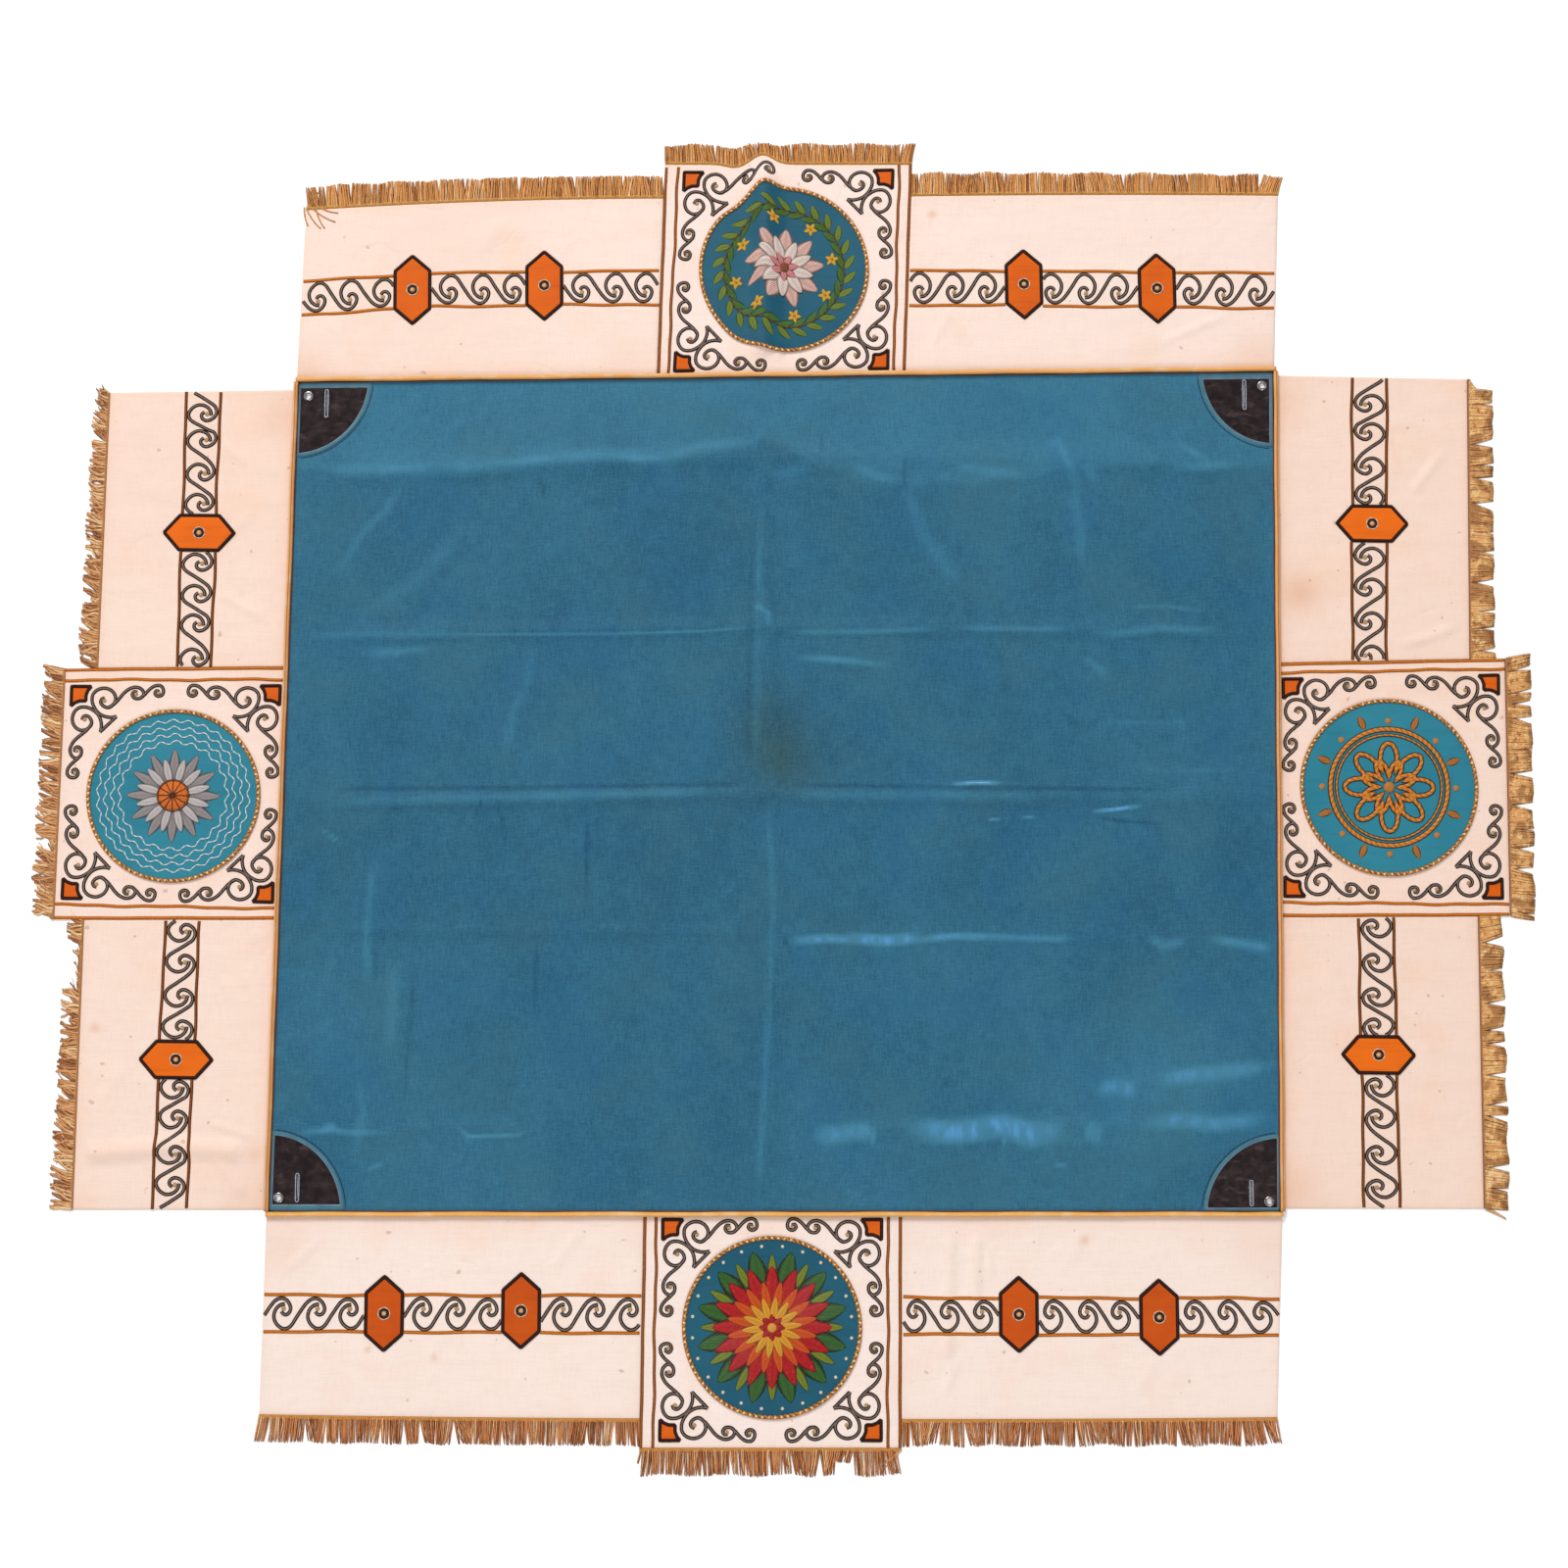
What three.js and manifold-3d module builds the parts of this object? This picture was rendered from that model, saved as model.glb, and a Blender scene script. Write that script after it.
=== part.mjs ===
// A canopy cloth for a processional baldachin, laid face up on a flat surface.
// Millimetres, +Z up, +Y towards the far hem, origin on the surface under the middle of the cloth and
// its fringe. A blue panel has a valance sewn along each side. Each valance is two bands with a deeper
// square between them, and a fringe along its hem.
import * as THREE from "three";
import { mergeVertices } from "three/addons/utils/BufferGeometryUtils.js";
import Module from "manifold-3d";

const wasm = await Module();
wasm.setup();

// Thicknesses and gaps
const CLOTH = 2.0; // satin, interlining and lining together
const GAP = 0.35; // between two pieces that touch
const SEAM = 0.2; // each piece's own share of the gap at a seam
const FIELD = 1.0; // appliqued cloth
const RIM = 2.2; // the cord round an applique, from the cloth up
const PIPING = 8.0; // twisted cord over the seams
const STEP = 125.0; // widest cell of a sheet's grid

// Corners of the blue panel as laid
const CORNERS = {
  farLeft: [-832.5, 702],
  farRight: [838.5, 721],
  nearRight: [818.5, -701],
  nearLeft: [-851, -701],
};
const PANEL_WIDTH = 1670;
const PANEL_HEIGHT = 1413;

// Storage creases of the panel: where each runs at its start, middle and end, how high it stands, how
// wide it is to each side, and the part of the panel that it reaches, as fractions
const PANEL_ROWS = [
  { from: 133, mid: 135, to: 150, high: 3.5, half: 20, reach: [0.54, 0.9] },
  { from: 470, mid: 460, to: 444, high: 3.0, half: 18, reach: [0.03, 0.97] },
  { from: 700, mid: 711, to: 691, high: 6.0, half: 22, reach: [0.01, 0.99] },
  { from: 971, mid: 977, to: 961, high: 4.5, half: 20, reach: [0.02, 0.98] },
  { from: 1252, mid: 1270, to: 1252, high: 5.0, half: 30, reach: [0.03, 0.97] },
];
const PANEL_COLUMNS = [
  { from: 829, mid: 825, to: 787, high: 4.5, half: 20, reach: [0.02, 0.98] },
];

// The four valances: t runs along the seam from one panel corner to the next, and the drop is measured
// out from the seam. Seam and hem give t at each side of each piece.
const SIDES = [
  {
    name: "far", corners: ["farLeft", "farRight"],
    seam: [0, 615, 1039.5, 1669], hem: [13, 631, 1057, 1686],
    drop: [299, 313, 312, 306], squareDrop: [373, 368], bow: [5, 2],
    hexagons: [[197, 156], [423, 161], [1245, 154], [1473, 144]],
    roundel: [834, 184, 146],
  },
  {
    name: "right", corners: ["farRight", "nearRight"],
    seam: [11, 507, 934.5, 1413], hem: [13, 494, 927.5, 1409],
    drop: [327, 323, 329.5, 331], squareDrop: [382, 383], bow: [0, 0],
    hexagons: [[266, 161.5], [1160, 161]],
    roundel: [715, 184, 149.5],
  },
  {
    name: "near", corners: ["nearRight", "nearLeft"],
    seam: [0, 625.5, 1049.5, 1669.5], hem: [15.5, 628, 1054.5, 1674],
    drop: [326, 329, 328, 321.5], squareDrop: [374.5, 374.5], bow: [1, 1],
    hexagons: [[205.5, 166], [435, 161.5], [1249, 155.5], [1473, 160]],
    roundel: [838.5, 182, 147.5],
  },
  {
    name: "left", corners: ["nearLeft", "farLeft"],
    seam: [7, 483.5, 909, 1386], hem: [3, 478.5, 901, 1377],
    drop: [318, 321, 316.5, 317], squareDrop: [371, 371], bow: [0, 0],
    hexagons: [[250, 158.5], [1136, 155.5]],
    roundel: [688, 180.5, 146],
  },
];
const HEXAGON = { across: 64, along: 124, shoulder: 28, cord: 5, ring: 8 };
const CORNER_DRAW = { tip: 1.2, shoulder: 0.4 }; // how a hexagon's corners move when it is drawn in
const ROUNDEL_CORD = 7;
const ROUNDEL_SIDES = 36;
const RING_SIDES = 10;
const PIPING_SIDES = 6;

// Creases in the valances, by piece, in the same terms as the panel's, from the piece's own start edge
// and seam
const BAND_CREASES = {
  near_band_start: {
    columns: [
      { from: 500, mid: 506, to: 512, high: 3.5, half: 16, reach: [0.08, 0.6] },
      { from: 545, mid: 548, to: 556, high: 3.5, half: 16, reach: [0.08, 0.75] },
    ],
    rows: [],
  },
  left_band_start: {
    columns: [{ from: 90, mid: 102, to: 88, high: 6.0, half: 24, reach: [0.1, 0.97] }],
    rows: [],
  },
  far_square: {
    columns: [{ from: 182, mid: 181, to: 172, high: 9.0, half: 34, reach: [0.06, 0.98] }],
    rows: [],
    fixed: { columns: [95, 112, 130, 165, 198, 235] },
  },
};

const FADE = 0.08; // share of its run over which a crease dies away

// Puckers that push the cloth outwards in its own plane: where on the seam, how wide and how far
const PUCKERS = {
  far: [
    { t: 800, wide: 24, push: 17 },
    { t: 752, wide: 22, push: -6 },
  ],
};
const PUCKER_FROM = 20; // out from the seam
const PUCKER_RISE = 100; // from its start to where it is whole

// Fringe: length at the start and at the end of each piece's hem, how far its last strands splay, and the
// part of the hem where it is worn away
const FRINGES = {
  far_band_start: { length: [44, 42], splay: [4, 0] },
  far_square: { length: [38, 40], splay: [3, 9] },
  far_band_end: { length: [43, 39], splay: [0, 9] },
  right_band_start: { length: [44, 44], splay: [6, 0] },
  right_square: { length: [45, 43], splay: [8, 10] },
  right_band_end: { length: [42, 44], splay: [0, 8] },
  near_band_start: { length: [46, 44], splay: [7, 0] },
  near_square: { length: [46, 46], splay: [6, 6] },
  near_band_end: { length: [44, 45], splay: [0, 9] },
  left_band_start: { length: [43, 34], splay: [3, 0], worn: [0.75, 0.92] },
  left_square: { length: [42, 41], splay: [5, 4] },
  left_band_end: { length: [38, 30], splay: [0, 4] },
};
const HEADER = 8; // woven head of the fringe
const LOCK = { pitch: 22, root: 15, tip: 12, thick: 2.0, sunk: 5, vary: 5, lean: 5, splayed: 0.12 };
const UNEVEN = [2.4, 0.77]; // steps of the two waves that vary the locks

// Corner windows, measured from the panel's corner along its long and short seam: radii of the patch,
// where its straight sides show from under the binding, the eyelet's centre, and the slot's line and ends
const WINDOWS = {
  farLeft: { radii: [124, 130], inset: [8.5, 15], eyelet: [21.5, 28.5], slot: [53, 18, 66] },
  farRight: { radii: [126, 130], inset: [11, 17], eyelet: [23, 28.5], slot: [53.5, 18, 70] },
  nearRight: { radii: [125, 124], inset: [8.5, 10.5], eyelet: [21.5, 20.5], slot: [51, 13, 55] },
  nearLeft: { radii: [123, 131], inset: [9.5, 16], eyelet: [19, 27], slot: [49.5, 20, 67] },
};
const WINDOW_CLEAR = 140; // from the corner to the nearest grid line of the panel
const SLOT_WIDTH = 5.4; // between the lips of a buttonhole
const SLOT_TURNS = 4;
const EYELET = { hole: 4.6, barrel: 5.6, flange: 8.6, dome: 1.9, clear: 6.0, sides: 12 };
const BINDING = { thick: 1.2, out: 5.0, in: 1.5, clear: PIPING / 2 + 1.2 };
const WINDOW_STEPS = 10;
const BELOW = -5; // cutters reach from here
const ABOVE = 60; // to here, past the highest crease

const COLOURS = {
  blue: 0x306884, ivory: 0xfae5da, gold: 0xaa7846, orange: 0xd96422, teal: 0x3f7c90,
  piping: 0xf5b56c, patch: 0x3a2c2e, binding: 0x4f8f9f, silver: 0xc4c8cc,
};

// Materials
const cloth = (color) => new THREE.MeshStandardMaterial({ color, roughness: 0.8, metalness: 0 });
const MATERIALS = {
  blue: new THREE.MeshStandardMaterial({ color: COLOURS.blue, roughness: 0.45, metalness: 0 }),
  ivory: cloth(COLOURS.ivory),
  orange: cloth(COLOURS.orange),
  teal: cloth(COLOURS.teal),
  piping: cloth(COLOURS.piping),
  patch: cloth(COLOURS.patch),
  binding: cloth(COLOURS.binding),
  gold: new THREE.MeshStandardMaterial({ color: COLOURS.gold, roughness: 0.5, metalness: 0.4 }),
  silver: new THREE.MeshStandardMaterial({ color: COLOURS.silver, roughness: 0.3, metalness: 1 }),
};

const canopy = new THREE.Group();
canopy.name = "baldachin_cloth";

function add(name, geometry, material) {
  const mesh = new THREE.Mesh(geometry, material);
  mesh.name = name;
  canopy.add(mesh);
}

// Solids: a closed geometry as a manifold, and back
function solid(geometry) {
  const bare = geometry.clone();
  bare.deleteAttribute("normal");
  bare.deleteAttribute("uv");
  const merged = mergeVertices(bare, 1e-3);
  return new wasm.Manifold(
    new wasm.Mesh({
      numProp: 3,
      vertProperties: merged.attributes.position.array,
      triVerts: new Uint32Array(merged.index.array),
    }),
  );
}

function geometryOf(manifold) {
  const mesh = manifold.getMesh();
  const geometry = new THREE.BufferGeometry();
  geometry.setAttribute("position", new THREE.BufferAttribute(new Float32Array(mesh.vertProperties), 3));
  geometry.setIndex(new THREE.BufferAttribute(new Uint32Array(mesh.triVerts), 1));
  geometry.computeVertexNormals();
  return geometry;
}

// A flat outline in plan, with holes, raised from one height to another
function prism(outline, holes, low, high) {
  const turning = THREE.ShapeUtils.isClockWise(outline) ? [...outline].reverse() : outline;
  const shape = new THREE.Shape(turning);
  shape.holes = holes.map((points) => new THREE.Path(points));
  const geometry = new THREE.ExtrudeGeometry(shape, { depth: high - low, bevelEnabled: false, steps: 1 });
  geometry.translate(0, 0, low);
  return geometry;
}

const mix = (a, b, share) => a + (b - a) * share;
const smooth = (x) => THREE.MathUtils.smoothstep(x, 0, 1);

// How much of a crease is left at a fraction of its run
function fade(reach, fraction) {
  return smooth((fraction - reach[0]) / FADE) * smooth((reach[1] - fraction) / FADE);
}

// Grid lines across a length: its two ends, any fixed lines, three lines to each crease, and plain lines
// between them. Each line has its place at the start, middle and end of its run.
function gridLines(length, creases, fixed = []) {
  const lines = [0, ...fixed, length].map((at) => ({ at: [at, at, at], high: 0, reach: [0, 1] }));
  for (const crease of creases)
    for (const side of [-1, 0, 1])
      lines.push({
        at: [crease.from, crease.mid, crease.to].map((at) => at + side * crease.half),
        high: side === 0 ? crease.high : 0,
        reach: crease.reach,
      });
  lines.sort((a, b) => a.at[1] - b.at[1]);
  const all = [lines[0]];
  for (const line of lines.slice(1)) {
    const last = all[all.length - 1];
    const parts = Math.ceil((line.at[1] - last.at[1]) / STEP);
    for (let k = 1; k < parts; k++)
      all.push({ at: line.at.map((at, i) => mix(last.at[i], at, k / parts)), high: 0, reach: [0, 1] });
    all.push(line);
  }
  return all;
}

function lineAt(line, fraction) {
  return fraction < 0.5
    ? mix(line.at[0], line.at[1], 2 * fraction)
    : mix(line.at[1], line.at[2], 2 * fraction - 1);
}

// A sheet's grid: place(u, v) gives the plan point, and the creases give the lift
function sheetGrid(width, height, creases, place, fixed = {}) {
  const columns = gridLines(width, creases.columns, fixed.columns);
  const rows = gridLines(height, creases.rows, fixed.rows);
  const points = columns.map((column) =>
    rows.map((row) => {
      const guess = lineAt(row, column.at[1] / width);
      const u = lineAt(column, guess / height);
      const v = lineAt(row, u / width);
      const lift = Math.max(
        column.high * fade(column.reach, v / height),
        row.high * fade(row.reach, u / width),
      );
      const [x, y] = place(u, v);
      return [x, y, lift];
    }),
  );
  return points;
}

// A closed layer over a sheet's grid, from one height above its underside to another
function layer(grid, low, high) {
  const across = grid.length;
  const along = grid[0].length;
  const positions = [];
  for (const height of [low, high])
    for (const column of grid) for (const [x, y, lift] of column) positions.push(x, y, lift + height);
  const index = (i, j, top) => (top ? across * along : 0) + i * along + j;
  const faces = [];
  const quad = (a, b, c, d) => faces.push(a, b, c, a, c, d);
  for (let i = 0; i + 1 < across; i++)
    for (let j = 0; j + 1 < along; j++) {
      quad(index(i, j, true), index(i + 1, j, true), index(i + 1, j + 1, true), index(i, j + 1, true));
      quad(index(i, j, false), index(i, j + 1, false), index(i + 1, j + 1, false), index(i + 1, j, false));
    }
  const rim = [];
  for (let i = 0; i + 1 < across; i++) rim.push([i, 0]);
  for (let j = 0; j + 1 < along; j++) rim.push([across - 1, j]);
  for (let i = across - 1; i > 0; i--) rim.push([i, along - 1]);
  for (let j = along - 1; j > 0; j--) rim.push([0, j]);
  rim.forEach(([i, j], k) => {
    const [m, n] = rim[(k + 1) % rim.length];
    quad(index(i, j, false), index(m, n, false), index(m, n, true), index(i, j, true));
  });
  const geometry = new THREE.BufferGeometry();
  geometry.setAttribute("position", new THREE.Float32BufferAttribute(positions, 3));
  geometry.setIndex(faces);
  geometry.computeVertexNormals();
  return geometry;
}

// Blue panel: u runs from left to right and v from the near seam to the far one
function panelPlace(u, v) {
  const a = u / PANEL_WIDTH;
  const b = v / PANEL_HEIGHT;
  return [0, 1].map((k) =>
    mix(
      mix(CORNERS.nearLeft[k], CORNERS.nearRight[k], a),
      mix(CORNERS.farLeft[k], CORNERS.farRight[k], a),
      b,
    ),
  );
}

// A point near a corner of the panel, from its distances to the two seams
function cornerPoint(corner, x, y) {
  const u = corner.endsWith("Left") ? x : PANEL_WIDTH - x;
  const v = corner.startsWith("near") ? y : PANEL_HEIGHT - y;
  return new THREE.Vector2(...panelPlace(u, v));
}

// The quarter-round outline of a corner window: its curved side is set out by grow, and its straight
// sides lie at insets x and y
function windowOutline(corner, grow, x, y) {
  const [rx, ry] = WINDOWS[corner].radii.map((radius) => radius + grow);
  const first = Math.asin(THREE.MathUtils.clamp(y / ry, -1, 1));
  const last = Math.acos(THREE.MathUtils.clamp(x / rx, -1, 1));
  const turns = Array.from({ length: WINDOW_STEPS + 1 }, (_, k) => (k / WINDOW_STEPS) * (Math.PI / 2));
  const between = turns.filter((angle) => angle > first && angle < last);
  const angles = [first, ...between, last];
  const arc = angles.map((angle) => cornerPoint(corner, rx * Math.cos(angle), ry * Math.sin(angle)));
  return [cornerPoint(corner, x, y), ...arc];
}

function circle(centre, radius, sides) {
  return Array.from({ length: sides }, (_, k) => {
    const angle = (2 * Math.PI * k) / sides;
    return new THREE.Vector2(centre.x + radius * Math.cos(angle), centre.y + radius * Math.sin(angle));
  });
}

// A slot's outline: it runs straight along Y
function slotOutline(corner) {
  const [x, start, end] = WINDOWS[corner].slot;
  const centre = cornerPoint(corner, x, (start + end) / 2);
  const radius = SLOT_WIDTH / 2;
  const reach = (end - start) / 2 - radius;
  return [0, 1].flatMap((half) =>
    Array.from({ length: SLOT_TURNS + 1 }, (_, k) => {
      const angle = Math.PI * (half + k / SLOT_TURNS);
      const y = centre.y + (half === 0 ? reach : -reach) + radius * Math.sin(angle);
      return new THREE.Vector2(centre.x + radius * Math.cos(angle), y);
    }),
  );
}

function eyeletGeometry(centre) {
  const { hole, barrel, flange, dome, sides } = EYELET;
  const seat = CLOTH + GAP;
  const profile = [
    [hole, GAP],
    [barrel, GAP],
    [barrel, seat],
    [flange, seat],
    [mix(barrel, flange, 0.75), seat + 0.75 * dome],
    [mix(barrel, flange, 0.3), seat + dome],
    [hole, seat + 0.6 * dome],
    [hole, GAP],
  ].map(([radius, height]) => new THREE.Vector2(radius, height));
  const geometry = new THREE.LatheGeometry(profile, sides);
  geometry.rotateX(Math.PI / 2);
  geometry.translate(centre.x, centre.y, 0);
  return geometry;
}

// The panel's creases stay clear of the corner windows
const panelGrid = sheetGrid(
  PANEL_WIDTH,
  PANEL_HEIGHT,
  { columns: PANEL_COLUMNS, rows: PANEL_ROWS },
  (u, v) => {
    const inset = (at, length) => THREE.MathUtils.clamp(at, SEAM, length - SEAM);
    return panelPlace(inset(u, PANEL_WIDTH), inset(v, PANEL_HEIGHT));
  },
  { columns: [WINDOW_CLEAR, PANEL_WIDTH - WINDOW_CLEAR] },
);
let panel = solid(layer(panelGrid, 0, CLOTH));
for (const corner of Object.keys(WINDOWS)) {
  const notch = solid(prism(windowOutline(corner, GAP, BELOW, BELOW), [], BELOW, ABOVE));
  panel = panel.subtract(notch);
}
add("panel_blue", geometryOf(panel), MATERIALS.blue);

for (const [corner, { eyelet, inset }] of Object.entries(WINDOWS)) {
  const centre = cornerPoint(corner, ...eyelet);
  const holes = [circle(centre, EYELET.clear, EYELET.sides), slotOutline(corner)];
  add(`patch_${corner}`, prism(windowOutline(corner, 0, SEAM, SEAM), holes, 0, CLOTH), MATERIALS.patch);
  const under = CLOTH + GAP;
  const outer = windowOutline(corner, BINDING.out, BINDING.clear, BINDING.clear);
  const inner = windowOutline(corner, -BINDING.in, ...inset);
  add(`binding_${corner}`, prism(outer, [inner], under, under + BINDING.thick), MATERIALS.binding);
  add(`eyelet_${corner}`, eyeletGeometry(centre), MATERIALS.silver);
}

// Valances
function sideFrame(side) {
  const [start, end] = side.corners.map((corner) => new THREE.Vector2(...CORNERS[corner]));
  const along = end.clone().sub(start).normalize();
  const out = new THREE.Vector2(-along.y, along.x);
  return { start, along, out, length: start.distanceTo(end) };
}

function pucker(side, t, s) {
  const rows = PUCKERS[side.name] ?? [];
  const share = smooth((s - PUCKER_FROM) / PUCKER_RISE);
  const pushes = rows.map(({ t: at, wide, push }) => push * Math.exp(-(((t - at) / wide) ** 2)));
  return share * pushes.reduce((sum, push) => sum + push, 0);
}

// The plan point at t along a side's seam and s out from it
function sidePoint(side, frame, t, s) {
  const out = s + pucker(side, t, s);
  return new THREE.Vector2(
    frame.start.x + frame.along.x * t + frame.out.x * out,
    frame.start.y + frame.along.y * t + frame.out.y * out,
  );
}

// The three pieces of a side: their corners in t and s, and the bow of their hem
function sidePieces(side) {
  const { name, seam, hem, drop, squareDrop, bow } = side;
  // where the square's side line crosses the bands' hem
  const crossing = (k) => mix(seam[k], hem[k], drop[k] / squareDrop[k - 1]);
  const piece = (part, at, hemLine, depth, curve) => ({
    name: `${name}_${part}`, seam: [seam[at], seam[at + 1]], hem: hemLine, drop: depth, bow: curve,
  });
  return [
    piece("band_start", 0, [hem[0], crossing(1)], [drop[0], drop[1]], bow[0]),
    piece("square", 1, [hem[1], hem[2]], squareDrop, 0),
    piece("band_end", 2, [crossing(2), hem[3]], [drop[2], drop[3]], bow[1]),
  ];
}

// Plan point of a piece at a fraction a along it and a fraction b out from the seam
function piecePoint(side, frame, piece, a, b) {
  const from = mix(piece.seam[0] + SEAM, piece.hem[0] + SEAM, b);
  const to = mix(piece.seam[1] - SEAM, piece.hem[1] - SEAM, b);
  const drop = mix(piece.drop[0], piece.drop[1], a) + piece.bow * 4 * a * (1 - a);
  return sidePoint(side, frame, mix(from, to, a), mix(SEAM, drop, b));
}

function pieceGrid(side, frame, piece) {
  const width = piece.seam[1] - piece.seam[0];
  const height = piece.drop[0];
  const creases = BAND_CREASES[piece.name] ?? { columns: [], rows: [] };
  const place = (u, v) => {
    const point = piecePoint(side, frame, piece, u / width, v / height);
    return [point.x, point.y];
  };
  return sheetGrid(width, height, creases, place, creases.fixed);
}

function hexagon(side, frame, [t, s], inset) {
  const half = HEXAGON.across / 2 - inset;
  const tip = HEXAGON.along / 2 - inset * CORNER_DRAW.tip;
  const shoulder = HEXAGON.along / 2 - HEXAGON.shoulder - inset * CORNER_DRAW.shoulder;
  const right = [[0, -tip], [half, -shoulder], [half, shoulder]];
  const left = right.map(([dt, ds]) => [-dt, -ds]);
  return [...right, ...left].map(([dt, ds]) => sidePoint(side, frame, t + dt, s + ds));
}

// An applique on a piece: its cloth, and a raised cord round its edge. It follows the piece's folds,
// because it is cut out of a layer over the same grid.
function applique(grid, outline, inner, extra) {
  const base = CLOTH + GAP;
  const whole = solid(prism(outline, [], BELOW, ABOVE));
  let made = solid(layer(grid, base, base + FIELD)).intersect(whole);
  const raised = solid(layer(grid, base, base + RIM)).intersect(whole);
  const cord = raised.subtract(solid(prism(inner, [], BELOW, ABOVE)));
  made = made.add(cord);
  if (extra) made = made.add(raised.intersect(solid(prism(extra, [], BELOW, ABOVE))));
  return geometryOf(made);
}

// A fringe: a head along the hem, and locks that lie on the surface with their roots in it
function fringe(side, frame, piece, grid) {
  const { length, splay, worn = [1, 1] } = FRINGES[piece.name];
  const hem = grid.map((column) => new THREE.Vector2(...column[column.length - 1]));
  const along = hem.map((point) => point.dot(frame.along));
  const last = hem.length - 1;
  // the point at a fraction of the hem, and a distance out from it
  const edge = (fraction, out) => {
    const at = mix(along[0], along[last], fraction);
    const k = Math.min(Math.max(along.findIndex((value) => value > at) - 1, 0), last - 1);
    const share = fraction === 1 ? 1 : (at - along[k]) / (along[k + 1] - along[k]);
    const from = fraction === 1 ? last - 1 : k;
    return hem[from].clone().lerp(hem[from + 1], share).addScaledVector(frame.out, out);
  };
  const head = (out) => hem.map((point) => point.clone().addScaledVector(frame.out, out));
  let made = solid(prism([...head(GAP), ...head(GAP + HEADER).reverse()], [], 0, LOCK.thick));
  const count = Math.round((along[last] - along[0]) / LOCK.pitch);
  for (let k = 0; k < count; k++) {
    const fraction = (k + 0.5) / count;
    if (fraction > worn[0] && fraction < worn[1]) continue;
    const end = fraction < 0.5 ? 0 : 1;
    const near = 1 - smooth(Math.min(fraction, 1 - fraction) / LOCK.splayed);
    const uneven = Math.sin(k * UNEVEN[0] + along[0]) * Math.cos(k * UNEVEN[1]);
    const free = splay[end] === 0 ? 1 - near : 1;
    const lean = (end === 0 ? -1 : 1) * splay[end] * near + LOCK.lean * uneven * free;
    // the tips stay in line where the hem puckers out
    const t = mix(piece.hem[0], piece.hem[1], fraction);
    const pushed = Math.max(pucker(side, t, piece.drop[0]), 0);
    const long = mix(length[0], length[1], fraction) - LOCK.vary * Math.abs(uneven) - pushed;
    const half = LOCK.root / 2 / (along[last] - along[0]);
    const roots = [fraction - half, fraction + half].map((at) => edge(at, GAP + HEADER - LOCK.sunk));
    const tip = edge(fraction, GAP + long).addScaledVector(frame.along, lean);
    const tips = [LOCK.tip / 2, -LOCK.tip / 2].map((by) => tip.clone().addScaledVector(frame.along, by));
    made = made.add(solid(prism([...roots, ...tips], [], 0, LOCK.thick)));
  }
  return geometryOf(made);
}

// Piping over a seam, a little short of the corners on the short sides
function piping(frame, short) {
  const radius = PIPING / 2;
  const section = new THREE.Shape(circle(new THREE.Vector2(0, 0), radius, PIPING_SIDES));
  const at = (t) => {
    const { x, y } = frame.start.clone().addScaledVector(frame.along, t);
    return new THREE.Vector3(x, y, CLOTH + GAP + radius);
  };
  const path = new THREE.LineCurve3(at(short), at(frame.length - short));
  return new THREE.ExtrudeGeometry(section, { steps: 1, bevelEnabled: false, extrudePath: path });
}

for (const side of SIDES) {
  const frame = sideFrame(side);
  const pieces = sidePieces(side);
  const grids = pieces.map((piece) => pieceGrid(side, frame, piece));
  pieces.forEach((piece, k) => {
    add(piece.name, layer(grids[k], 0, CLOTH), MATERIALS.ivory);
    add(`fringe_${piece.name}`, fringe(side, frame, piece, grids[k]), MATERIALS.gold);
  });
  side.hexagons.forEach((centre, k) => {
    const grid = grids[centre[0] < side.seam[1] ? 0 : 2];
    const ring = circle(sidePoint(side, frame, ...centre), HEXAGON.ring, RING_SIDES);
    const outer = hexagon(side, frame, centre, 0);
    const inner = hexagon(side, frame, centre, HEXAGON.cord);
    add(`hexagon_${side.name}_${k + 1}`, applique(grid, outer, inner, ring), MATERIALS.orange);
  });
  const [t, s, radius] = side.roundel;
  const round = (size) =>
    Array.from({ length: ROUNDEL_SIDES }, (_, k) => {
      const angle = (2 * Math.PI * k) / ROUNDEL_SIDES;
      return sidePoint(side, frame, t + size * Math.cos(angle), s + size * Math.sin(angle));
    });
  const disc = applique(grids[1], round(radius), round(radius - ROUNDEL_CORD));
  add(`roundel_${side.name}`, disc, MATERIALS.teal);
  const short = side.name === "far" || side.name === "near" ? 0 : PIPING / 2 + 1;
  add(`piping_${side.name}`, piping(frame, short), MATERIALS.piping);
}

export default canopy;
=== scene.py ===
"""A processional canopy cloth laid face up on a pale floor: blue satin with four valances of ivory silk,
couched cords, appliques, a metal fringe, twisted piping and dark corner windows with eyelets.

Tables are in millimetres on the laid cloth. On a valance t runs along the seam and s out from it."""

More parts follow.
